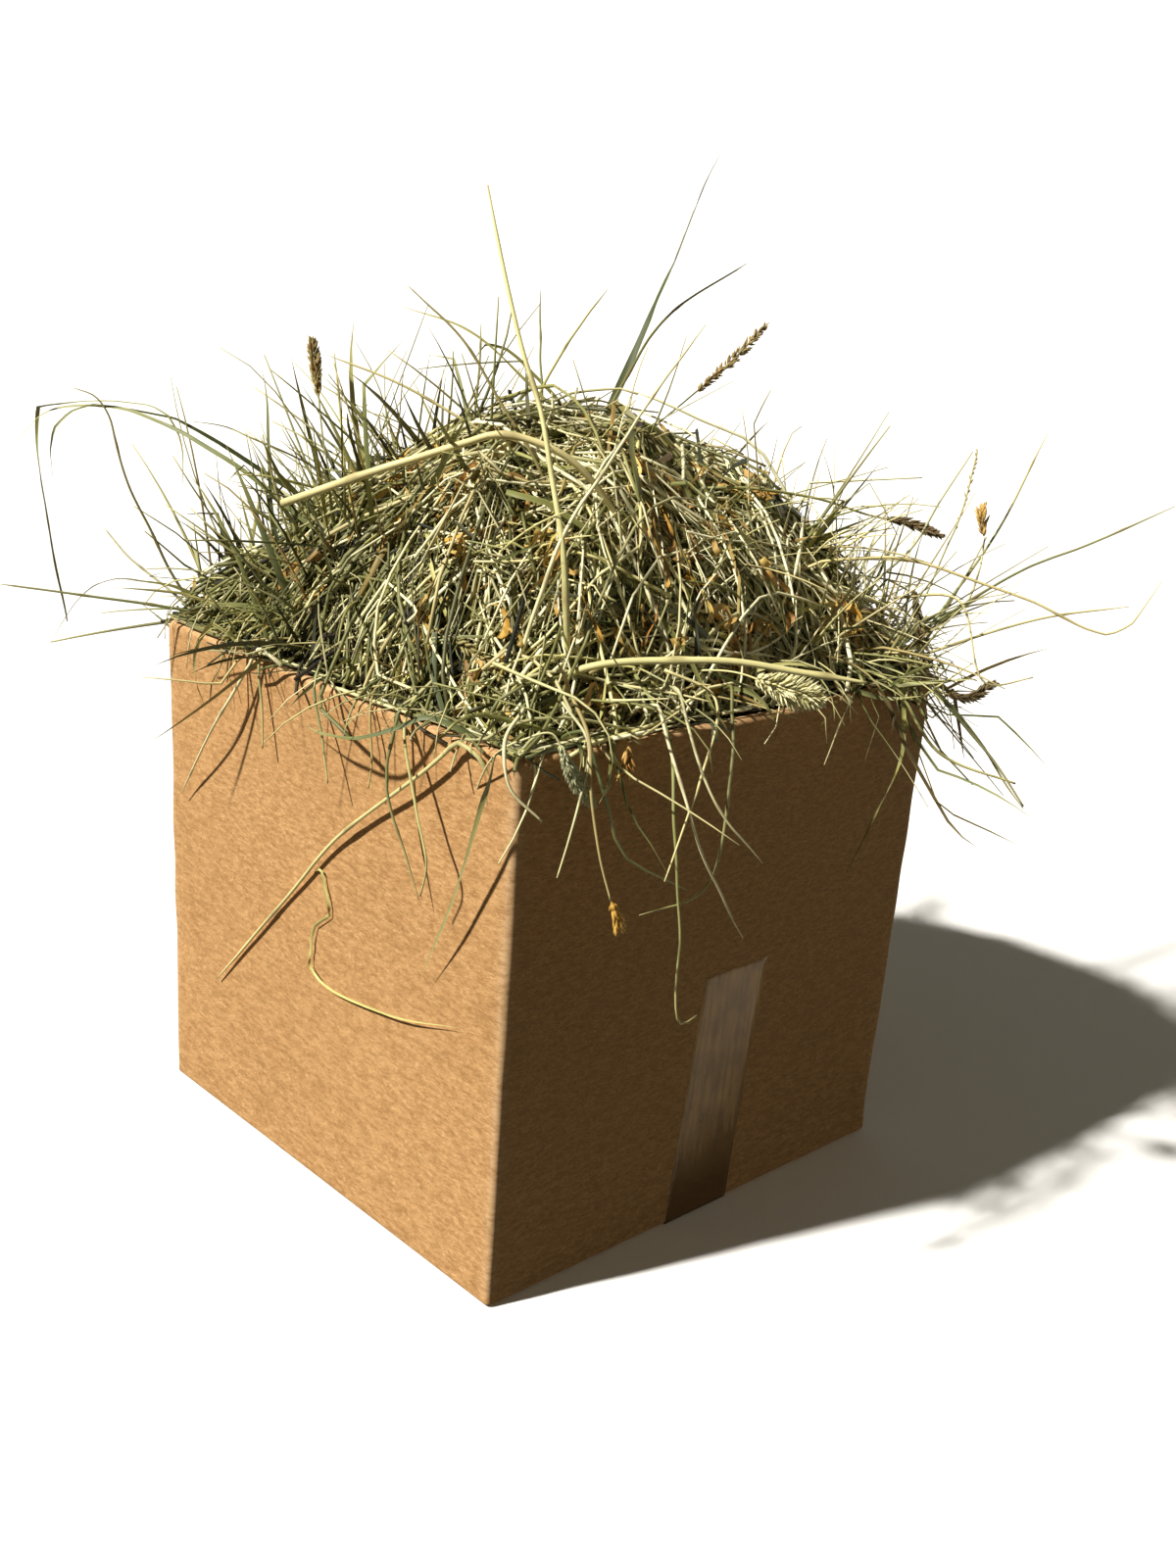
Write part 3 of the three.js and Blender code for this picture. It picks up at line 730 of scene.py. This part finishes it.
def fringe(rng, name, per_side, rings, section, sizes, material):
    """Strands that lie over each rim, and tip down outside it."""
    count = per_side * 4
    axis_side = np.repeat([(0, 1), (0, -1), (1, 1), (1, -1)], per_side, axis=0)
    length = rng.uniform(sizes[0], sizes[1], count) * MM
    inside = rng.uniform(0.45, 0.75, count)
    run = np.linspace(0, 1, rings)[None] * length[:, None]
    crossing = (inside * length)[:, None]
    pitch = rng.uniform(-0.25, 0.5, (count, 1))
    pitch = pitch - np.maximum(run - crossing, 0) / MM * rng.uniform(0.005, 0.05, (count, 1))
    step = (length / (rings - 1))[:, None]
    out = np.cumsum(np.cos(pitch) * step, 1)
    rise = np.cumsum(np.sin(pitch) * step, 1)
    at_rim = np.argmin(np.abs(run - crossing), 1)[:, None]
    out -= np.take_along_axis(out, at_rim, 1)
    rise -= np.take_along_axis(rise, at_rim, 1)
    slant = rng.normal(0, 0.55, (count, 1))
    across = rng.uniform(-0.97, 0.97, (count, 1)) * HAY_INSIDE + out * slant
    across = across + rng.normal(0, 0.1, (count, 1)) * out**2 / (50 * MM)
    height = RIM + rng.uniform(6, 26, (count, 1)) * MM + rise
    paths = np.empty((count, rings, 3))
    index = np.arange(count)
    paths[index, :, axis_side[:, 0]] = axis_side[:, 1:] * (HALF + 3 * MM + out)
    paths[index, :, 1 - axis_side[:, 0]] = across
    paths[..., 2] = height
    face = wall_face(paths)
    near = np.take_along_axis(np.abs(paths[..., :2]), axis_side[:, None, :1].repeat(rings, 1), 2)[..., 0]
    outside = (near > HALF - 2 * MM) & (paths[..., 2] < RIM + 2 * MM)
    pushed = np.where(outside, np.maximum(near, face + 1.5 * MM), near)
    paths[index, :, axis_side[:, 0]] = pushed * np.sign(paths[index, :, axis_side[:, 0]])
    paths = over_rim(shortened(paths))
    widths = tapered(rings, rng.uniform(sizes[2], sizes[3], count) * MM, 0.4)
    roll = rolls(rng, count, rings, 0.5)
    grass(name, paths, widths, section, roll, rng.random(count), material)


def spikelets(rng, path, per_head, size, spread, bare=0.15):
    """Husks up a rachis: (strand, ring, xyz) paths, thicker in the middle of the head."""
    place = np.linspace(bare, 1, per_head)
    rachis = resampled(path, place)
    along = unit(np.gradient(rachis, axis=0))
    turn = rng.uniform(0, 2 * math.pi, per_head)
    side = unit(np.cross(along, (0.3, 0.2, 1.0)))
    lift = np.cross(side, along)
    out = side * np.cos(turn)[:, None] + lift * np.sin(turn)[:, None]
    girth = np.sin(np.clip((place - bare) / (1 - bare), 0.06, 0.97) * math.pi) ** 0.6
    length = size * (0.6 + 0.5 * girth) * rng.uniform(0.8, 1.2, per_head)
    start = rachis + out * (spread * girth)[:, None] * 0.35
    reach = unit(along + out * 0.45) * length[:, None]
    run = np.linspace(0, 1, 4)[None, :, None]
    return start[:, None] + reach[:, None] * run + out[:, None] * spread * girth[:, None, None] * 0.5 * run


def resampled(path, places):
    """Points at fractions of a path's length, on a smooth curve through its points."""
    lengths = np.concatenate([[0], np.cumsum(np.linalg.norm(np.diff(path, axis=0), axis=1))])
    tangents = np.gradient(path, lengths, axis=0)
    target = np.clip(places, 0, 1) * lengths[-1]
    index = np.clip(np.searchsorted(lengths, target, side="right") - 1, 0, len(path) - 2)
    span = (lengths[index + 1] - lengths[index])[:, None]
    t = (target[:, None] - lengths[index][:, None]) / span
    a = (2 * t**3 - 3 * t**2 + 1) * path[index] + (t**3 - 2 * t**2 + t) * span * tangents[index]
    return a + (-2 * t**3 + 3 * t**2) * path[index + 1] + (t**3 - t**2) * span * tangents[index + 1]


def along_path(path, places):
    """Points at fractions of a path's length, on the straight lines between its points."""
    lengths = np.concatenate([[0], np.cumsum(np.linalg.norm(np.diff(path, axis=0), axis=1))])
    return np.stack([np.interp(places * lengths[-1], lengths, path[:, axis]) for axis in range(3)], -1)


HUSK_WIDTHS = np.array([0.35, 1.0, 0.75, 0.12])


def seed_head_piece(rng, name, paths, per_head, size, spread, tint, material, replaced=()):
    """Heads of husks along the given rachis paths, as one piece."""
    husks = np.concatenate([spikelets(rng, path, per_head, size, spread) for path in paths])
    count = len(husks)
    widths = HUSK_WIDTHS[None] * rng.uniform(0.75, 1.15, (count, 1)) * size * 0.17
    tints = np.clip(np.repeat(tint, per_head) + rng.normal(0, 0.08, count), 0, 1)
    grass(name, husks, widths, STEM, rolls(rng, count, 4, 0.2), tints, material, replaced)


# ---------------------------------------------------------------- strays

ROD_SIDES = 6  # of a stray's CAD rod
STRAY_RINGS = 56
STALK = 0.5 * MM  # half the thickness of a seed head's stalk


def rings_from(points, start):
    """A six-sided rod's points a ring at a time, each ring the nearest to the middle of the last."""
    here, rings = start, []
    while len(points):
        order = np.argsort(np.linalg.norm(points - here, axis=1))
        rings.append(points[order[:ROD_SIDES]])
        points = points[order[ROD_SIDES:]]
        here = rings[-1].mean(0)
    return np.array(rings)


def stray_route(node):
    """The middle line and half-width of a stray's CAD rod, from its thick end."""
    mesh = frame["nodes"][node].data
    corners = np.empty(len(mesh.vertices) * 3, np.float32)
    mesh.vertices.foreach_get("co", corners)
    points = np.unique(np.round(corners.reshape(-1, 3), 5), axis=0)
    tries = [rings_from(points, start) for start in points]
    spreads = [np.linalg.norm(rings - rings.mean(1, keepdims=True), axis=2).max(1) for rings in tries]
    best = int(np.argmin([spread.max() for spread in spreads]))
    middle, radius = tries[best].mean(1), spreads[best]
    if radius[0] < radius[-1]:
        middle, radius = middle[::-1], radius[::-1]
    return middle, radius


def rooted(path):
    """The path with its foot carried on down into the heap."""
    foot = path[0]
    depth = 30 * MM + max(foot[2] - heap_height(foot[0], foot[1]), 0)
    back = unit(foot - path[1])
    back[2] = min(back[2], -0.15)
    sink = unit(back * 0.8 + np.array([-foot[0], -foot[1], -0.25]) * 3)
    inward = foot + back * depth * 0.35
    return np.concatenate([[inward + sink * depth * 0.9, inward], path])


def stray_line(node, path):
    """A stray's middle line, ring by ring, with its kinks and crinkles."""
    place = np.linspace(0, 1, STRAY_RINGS)
    line = resampled(path, place)
    if node in KINKED:
        line = line * 0.3 + along_path(path, place) * 0.7
    if node in ZIGZAG:
        wave = np.abs((place * 16) % 2 - 1) - 0.5
        line += np.outer(wave * np.clip(0.55 - place, 0, 0.1) * 10, (1.0, 0.0, 0.3)) * 4 * MM
    crinkle = smooth_noise(line[:, :1], line[:, 1:2], line[:, 2:], seed_of(node), 14 * MM)
    return line + crinkle * 0.35 * MM


def stray_head(rng, node, path, line, thickness, tint, materials):
    """A seed head, its husks starting where it leaves the heap, on a thin stalk."""
    lengths = np.cumsum(np.linalg.norm(np.diff(path, axis=0), axis=1))
    emerges = int(lengths[1] / lengths[-1] * STRAY_RINGS)
    count, size, fullness, look = HUSKS.get(node, (120, 4.6, 0.6, SLOT_OF[node]))
    seed_head_piece(
        rng, f"{node}_husks", [line[emerges:]], count, size * MM, thickness * fullness, tint,
        materials[look], [node],
    )
    flat = np.zeros((1, STRAY_RINGS))
    stalk = materials["pale_hay"]
    grass(f"{node}_stalk", line[None], flat + STALK, TUBE, flat, tint, stalk)


def stray_blade(rng, node, line, width, tint, material):
    """A leaf blade, turned to show its face and twisting along its length."""
    place = np.linspace(0, 1, STRAY_RINGS)
    width = width * np.minimum(1, (1.02 - place) * 5) * np.clip(0.45 + place * 2, 0, 1) * 0.62
    side, lift = frames(line[None])
    open_side = unit(np.array([0.7, -0.65, 0.45]))
    flat = math.atan2(-(side @ open_side).mean(), (lift @ open_side).mean())
    roll = flat + np.cumsum(rng.normal(0, 0.09, STRAY_RINGS)) + (place - 0.4) * rng.uniform(-1.4, 1.4)
    grass(f"{node}_leaf", line[None], width[None], BLADE, roll[None], tint, material, [node])


def stray_stem(rng, node, line, width, tint, material):
    """A round stem, swollen a little at its joints."""
    place = np.linspace(0, 1, STRAY_RINGS)
    joints = np.zeros(STRAY_RINGS)
    for at in np.arange(rng.uniform(0.12, 0.3), 1, rng.uniform(0.25, 0.38)):
        joints = np.maximum(joints, np.exp(-(((place - at) * STRAY_RINGS / 1.1) ** 2)))
    width = width * (1 + 0.3 * joints) * np.clip(0.25 + (1.03 - place) * 6, 0, 1)
    flat = np.zeros((1, STRAY_RINGS))
    grass(
        f"{node}_straw", line[None], width[None], TUBE, flat, tint, material, [node],
        joints[None],
    )


def build_stray(rng, node, materials):
    """One stray along its CAD rod, its foot carried on down into the heap."""
    route, radius = stray_route(node)
    path = rooted(route[::-1])[::-1] if node in FREE_FOOT else rooted(route)
    line = stray_line(node, path)
    tint = np.array([STRAY_TINTS.get(node, rng.uniform(0.15, 0.85))])
    place = np.linspace(0, 1, STRAY_RINGS)
    width = np.interp(place, np.linspace(0, 1, len(radius)), radius) * WIDTH_SHARES.get(node, 1.0)
    kind = node.split("_")[0]
    if kind == "seed":
        stray_head(rng, node, path, line, width.max(), tint, materials)
    elif kind in ("blade", "leaf"):
        stray_blade(rng, node, line, width, tint, materials[SLOT_OF[node]])
    else:
        stray_stem(rng, node, line, width, tint, materials[SLOT_OF[node]])


def seed_of(name):
    """A seed that stays the same for a name."""
    return sum(ord(letter) * (index + 1) for index, letter in enumerate(name))


# Husks to a head, their length in mm, the head's thickness as a share of its rod's, and its look
HUSKS = {
    "seed_head_right": (18, 3.0, 0.12, "seed_heads"),
    "seed_head_hanging": (420, 3.0, 1.0, "grey_heads"),
    "seed_head_pale": (260, 3.8, 2.6, "straw"),
}
KINKED = {
    "blade_front_curled", "stem_front_fork", "stem_front_long", "stem_end_knotted", "blade_folded",
    "stem_leaning_right", "leaf_hanging_left", "stem_right_bent", "stem_far_right", "blade_front_left",
    "stem_end_long", "leaf_inner_left",
}
ZIGZAG = {"blade_front_curled"}
# Its thick end lies free, and its thin end goes down into the heap
FREE_FOOT = {"stem_stout_pale"}
# How wide some are drawn, as a share of their CAD rods
WIDTH_SHARES = {
    "blade_tall_right": 1.7,
    "stem_tall_centre": 1.6,
    "stem_front_long": 0.55,
    "blade_front_curled": 0.6,
    "blade_low_left": 0.9,
    "blade_left_shoulder": 0.7,
}
# Places along each look's list of tints; the rest are random
STRAY_TINTS = {
    "stem_front_long": 0.2,
    "stem_stout_pale": 0.81,
    "stem_stout_right": 0.2,
    "stem_end_long": 0.44,
    "stem_end_right": 0.40,
    "blade_front_curled": 0.5,
    "blade_tall_right": 0.07,
    "leaf_hanging_left": 0.36,
    "blade_shoulder_left": 0.07,
    "seed_head_pale": 0.19,
    "seed_head_hanging": 0.5,
}


# ---------------------------------------------------------------- build


# Each kind of hay: its strands' tints, the colour their tips fade to, and its roughness
HAY_LOOKS = {
    "pale_hay": (
        [
            (142, 144, 84), (228, 220, 156), (112, 122, 74), (250, 242, 196), (182, 178, 108),
            (98, 106, 66), (236, 222, 160), (168, 150, 96),
        ],
        (226, 214, 150),
        0.55,
    ),
    "straw": (
        [
            (228, 220, 152), (255, 250, 208), (158, 154, 92), (112, 112, 62), (250, 240, 188),
            (170, 152, 94), (96, 100, 56), (84, 84, 46),
        ],
        (244, 232, 180),
        0.48,
    ),
    "green_hay": (
        [
            (70, 78, 40), (150, 150, 84), (92, 100, 56), (196, 190, 116), (114, 108, 58),
            (124, 130, 78), (150, 122, 66),
        ],
        (190, 184, 120),
        0.55,
    ),
    "seed_heads": (
        [(96, 74, 44), (142, 128, 82), (168, 160, 104), (150, 116, 62), (186, 176, 126)],
        (190, 178, 130),
        0.7,
    ),
    "gold_hay": (
        [(206, 160, 68), (160, 114, 54), (228, 192, 110), (128, 92, 52), (198, 168, 88)],
        (210, 170, 90),
        0.6,
    ),
    # The grey heads are lighter than their own grey-green: painted light on a head that hangs in shade
    "grey_heads": ([(170, 174, 130), (206, 206, 162), (188, 190, 146)], (176, 180, 150), 0.7),
    # Painted shade: very dark hay colours for the strands deep in the heap, also worn by the curled blades
    "painted_shade_hay": (
        [(28, 30, 16), (44, 46, 26), (34, 38, 22), (56, 50, 26), (40, 30, 16)],
        (76, 76, 46),
        0.7,
    ),
    # Painted shade: darkened copies of the hay colours for the low strands under the top ones
    "shaded_hay": (
        [(56, 58, 28), (94, 88, 46), (42, 48, 24), (76, 62, 30), (66, 70, 38)],
        (104, 100, 58),
        0.6,
    ),
}


def hay_materials():
    """A material for each look, by name."""
    return {
        name: hay_material(name, [srgb(*tint) for tint in tints], srgb(*tip), roughness)
        for name, (tints, tip, roughness) in HAY_LOOKS.items()
    }


def build_heap(materials):
    """The heap's own strands, from the deep and low ones, darkened with painted shade, to the pale ones on
    top.
    """
    rng = np.random.default_rng(264)
    straw, green = materials["straw"], materials["green_hay"]
    deep, shaded = materials["painted_shade_hay"], materials["shaded_hay"]
    scatter(rng, "hay_deep", 3600, 6, PLAIN, (90, 200, 1.8, 3.2), (20, 85), deep, "green_hay")
    scatter(rng, "hay_stems_low", 1500, 9, STEM, (90, 230, 0.9, 2.0), (12, 40), shaded, "green_hay")
    scatter(
        rng, "hay_long", 150, 16, STEM, (160, 270, 1.5, 2.5), (-17, -5), straw, "pale_hay", bend=0.8,
        kinked=0.45, poke=0.35, limit=(-16, 6), stiff=(0.05, 0.6),
    )
    scatter(
        rng, "hay_stems_top", 1300, 9, STEM, (80, 230, 1.0, 2.3), (-12, 12), straw, "pale_hay",
        limit=(-18, 3), stiff=(0.1, 0.6),
    )
    scatter(
        rng, "hay_stout", 50, 12, TUBE, (100, 230, 2.0, 3.2), (-11, 0), straw, "pale_hay", bend=0.4,
        limit=(-18, 4),
    )
    scatter(rng, "hay_blades_low", 1500, 9, BLADE, (70, 180, 1.8, 4.0), (12, 40), shaded, "green_hay", 2.2)
    scatter(rng, "hay_blades_top", 1250, 9, BLADE, (60, 170, 1.5, 3.8), (-9, 12), green, "green_hay", 2.6)
    scatter(
        rng, "hay_fines", 2700, 6, PLAIN, (30, 100, 0.5, 1.2), (-9, 16), straw, "pale_hay", kinked=0.5,
        poke=0.2,
    )
    scatter(
        rng, "hay_curled", 130, 14, BLADE, (35, 80, 3.0, 5.5), (-8, 4), deep, "green_hay", 5.0, bend=2.0,
    )
    scatter(
        rng, "hay_gold", 720, 7, BLADE, (9, 26, 2.4, 5.2), (-17, -3), materials["gold_hay"], "seed_heads",
        3.0, bend=2.4, clusters=90, poke=0.6,
    )
    build_tufts(rng, materials)
    fringe(rng, "fringe_stems", 26, 9, STEM, (40, 110, 0.9, 1.9), materials["pale_hay"])
    fringe(rng, "fringe_blades", 9, 9, BLADE, (36, 90, 1.8, 3.4), green)


TUFTS_PER_ZONE = 20


def tuft_spots(rng):
    """Tufts that lean outwards all over the heap, and those of its right and left corners."""
    spread, right, left = [], [], []
    for _ in range(TUFTS_PER_ZONE):
        x, y = rng.uniform(-0.8, 0.8, 2) * HEAP_HALF
        away = unit(np.array([x, y]) + rng.normal(0, 0.08, 2))
        spread.append((x, y, *(away * rng.uniform(0.7, 1.3)), rng.uniform(0.2, 0.7)))
    for _ in range(TUFTS_PER_ZONE):
        x, y = rng.uniform(75, 155, 2) * MM
        right.append((x, y, rng.uniform(-0.8, 0.7), rng.uniform(-0.5, 0.8), rng.uniform(0.2, 0.9)))
    for place in range(TUFTS_PER_ZONE):
        x = rng.uniform(*((-150, -118) if place % 3 == 0 else (-62, 20))) * MM
        y = rng.uniform(-150, -40) * MM
        left.append((x, y, rng.uniform(-0.7, 0.4), rng.uniform(-0.4, 0.4), rng.uniform(0.6, 1.3)))
    return spread, right, left


def build_tufts(rng, materials):
    """Handfuls that stand out of the heap, which make its ragged outline."""
    pale, straw, green = materials["pale_hay"], materials["straw"], materials["green_hay"]
    shaded, seeds = materials["shaded_hay"], materials["seed_heads"]
    spread, right, left = tuft_spots(rng)
    tufts(rng, "tufts_stems", spread, 9, 9, STEM, (60, 130, 1.0, 2.0), pale)
    tufts(rng, "tufts_blades", spread, 6, 9, BLADE, (50, 110, 1.8, 3.6), green)
    tufts(rng, "left_stems", left, 7, 9, STEM, (60, 150, 1.2, 2.4), green, 0.6)
    tufts(rng, "left_blades", left, 6, 9, BLADE, (50, 130, 2.4, 4.8), green, 0.6)
    tufts(rng, "left_shaded", left, 6, 9, BLADE, (50, 110, 2.0, 4.0), shaded, 0.7)
    tufts(rng, "right_stems", right, 12, 9, STEM, (50, 130, 1.0, 2.2), straw, 0.7)
    tufts(rng, "right_greens", right, 8, 9, BLADE, (40, 110, 1.6, 3.2), green, 0.7)
    tufts(rng, "right_browns", right, 7, 9, BLADE, (30, 80, 1.8, 4.0), seeds, 0.8)


def build_seed_heads(materials):
    """Seed heads among the strands, the brown ones at the right corner and the gold flakes."""
    rng = np.random.default_rng(77)
    seeds, gold = materials["seed_heads"], materials["gold_hay"]
    length = rng.uniform(50, 80, 26) * MM
    paths = lying(rng, 26, 12, length, rng.uniform(-11, -2, 26) * MM, bend=0.8, kinked=0.1)
    seed_head_piece(rng, "hay_heads", paths, 90, 5 * MM, 1.6 * MM, rng.random(26), seeds)
    brown, tints = np.array(BROWN_HEADS) * MM, np.array([0.05, 0.2, 0.1])
    seed_head_piece(rng, "brown_heads", brown, 110, 4.8 * MM, 1.5 * MM, tints, seeds)
    flakes, tints = np.array(GOLD_FLAKES) * MM, np.array([0.1, 0.5, 0.3])
    seed_head_piece(rng, "gold_flakes", flakes, 26, 6 * MM, 2.2 * MM, tints, gold)


def build_hanging(materials):
    """Thin stems that hang clear of the walls, and those that carry the small heads."""
    rng = np.random.default_rng(91)
    rings = 30
    places = np.linspace(0, 1, rings)
    paths = np.array([resampled(np.array(route) * MM, places) for route in HANGING])
    paths += smooth_noise(paths[..., :1], paths[..., 1:2], paths[..., 2:], 31, 10 * MM) * 0.4 * MM
    count = len(paths)
    widths = tapered(rings, rng.uniform(1.5, 2.3, count) * MM, 0.5)
    flat, tints = np.zeros((count, rings)), rng.random(count)
    grass("hanging_stems", paths, widths, STEM, flat, tints, materials["pale_hay"])


# Small pieces placed one by one, in millimetres, each from its foot
HANGING = [
    [(150, -60, 325), (168, -45, 316), (188, -69, 280), (196, -85, 268), (204, -105, 243)],
    [(150, -80, 325), (172, -78, 305), (196, -93, 262), (206, -92, 213), (212, -91, 169), (212, -82, 171)],
    [(150, -120, 320), (172, -128, 306), (182, -134, 281), (190, -136, 263), (198, -133, 237)],
    [(150, -126, 318), (172, -128, 304), (180, -140, 280), (184, -148, 268), (188, -158, 251)],
    [(150, -150, 318), (162, -170, 308), (168, -171, 291), (178, -160, 275)],
    [(-50, -140, 318), (-48, -160, 304), (-41, -165, 275), (-37, -168, 252)],
    [(40, -140, 312), (51, -160, 302), (62, -168, 271), (60, -168, 258)],
    [(70, -140, 312), (80, -162, 300), (106, -174, 260), (118, -176, 240), (112, -174, 220)],
    [(0, -140, 312), (3, -160, 303), (23, -170, 271), (31, -172, 253)],
    [(140, 110, 350), (149, 127, 369), (152, 144, 395), (154, 162, 419)],
    [(140, 130, 340), (172, 141, 345), (201, 144, 303), (215, 162, 308)],
    [(140, 100, 310), (177, 116, 302), (208, 133, 273), (234, 144, 243)],
    [(140, 90, 308), (166, 99, 303), (195, 116, 266), (227, 143, 254)],
    [(150, 150, 320), (163, 164, 336), (160, 178, 355), (156, 185, 372)],
    [(50, -4, 388), (86, 58, 396), (103, 97, 391), (119, 132, 381), (131, 145, 379)],
    [(140, 110, 306), (159, 123, 311), (168, 132, 302), (173, 138, 294), (184, 148, 291)],
]
BROWN_HEADS = [
    [(119, 132, 381), (131, 145, 379), (148, 154, 374)],
    [(142, 141, 352), (153, 139, 328), (168, 130, 307)],
    [(173, 138, 294), (184, 148, 291), (192, 162, 299)],
]
GOLD_FLAKES = [
    [(198, -133, 240), (199, -131, 232), (200, -129, 224)],
    [(156, 185, 370), (153, 186, 378), (150, 187, 387)],
    [(168, -100, 300), (171, -102, 293), (172, -104, 286)],
]


def build_stage():
    """A pale floor that rises gently all round, out of view."""
    rings = [(0.0, 0.0), (1.5, 0.0), (3.0, 0.02), (6.0, 0.6), (12.0, 2.6), (30.0, 12.0)]
    sides = 96
    turns = np.linspace(0, 2 * math.pi, sides + 1)[:-1]
    verts = [(r * math.cos(a), r * math.sin(a), z) for r, z in rings[1:] for a in turns]
    mesh = bpy.data.meshes.new("floor")
    faces = [list(range(sides))] + ring_faces(len(rings) - 1, sides)[:, ::-1].tolist()
    mesh.from_pydata(verts, [], faces)
    mesh.polygons.foreach_set("use_smooth", np.ones(len(mesh.polygons), bool))
    floor = bpy.data.objects.new("floor", mesh)
    bpy.context.scene.collection.objects.link(floor)
    floor.visible_diffuse = False
    n = Nodes("floor")
    n.set(Base_Color=(0.92, 0.92, 0.91, 1), Roughness=0.9)
    mesh.materials.append(n.material)


TOWARDS_SUN = (-0.20, -0.68, 0.69)


def build_light():
    """A high sun as in the photo, softened, over a dim warm fill."""
    sun = bpy.data.lights.new("key", "SUN")
    sun.energy = 6.4
    sun.angle = math.radians(2.5)
    sun.color = (1.0, 0.965, 0.90)
    key = bpy.data.objects.new("key", sun)
    towards = unit(np.array(TOWARDS_SUN))
    key.rotation_euler = (math.acos(towards[2]), 0, math.atan2(towards[0], -towards[1]))
    bpy.context.scene.collection.objects.link(key)
    world = bpy.data.worlds.new("studio")
    world.use_nodes = True
    background = world.node_tree.nodes["Background"]
    background.inputs["Color"].default_value = (1.0, 0.90, 0.67, 1)
    background.inputs["Strength"].default_value = 0.101
    bpy.context.scene.world = world
    bpy.context.scene.view_settings.view_transform = "Standard"


# The photo's viewpoint, from where the carton's corners and the tape stand in it
EYE = (0.677, -0.6236, 0.5164)
LOOK_ALONG = (-0.68495, 0.62518, -0.37415)
LOOK_RIGHT = (0.65586, 0.75272, 0.05708)


def build_camera():
    camera = bpy.data.cameras.new("camera")
    camera.lens = 37.43
    camera.shift_x = 0.0408
    camera.shift_y = 0.068
    camera.clip_end = 100
    place = bpy.data.objects.new("camera", camera)
    forward, right = np.array(LOOK_ALONG), np.array(LOOK_RIGHT)
    turn = np.stack([right, np.cross(right, forward), -forward], 1)
    place.matrix_world = Matrix([*np.column_stack([turn, EYE]).tolist(), [0, 0, 0, 1]])
    bpy.context.scene.collection.objects.link(place)
    bpy.context.scene.camera = place


build_camera()
build_light()
build_stage()
kraft = kraft_paper()
for name, node in frame["nodes"].items():
    if name.startswith("bottom_flap"):
        node.data.materials.clear()
        node.data.materials.append(kraft)
build_walls(kraft)
build_tape(packing_tape())
hay = hay_materials()
build_heap(hay)
build_seed_heads(hay)
build_hanging(hay)
stray_rng = np.random.default_rng(45)
for name in frame["nodes"]:
    if name.split("_")[0] in ("stem", "blade", "leaf", "seed"):
        build_stray(stray_rng, name, hay)
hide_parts("loose_hay")
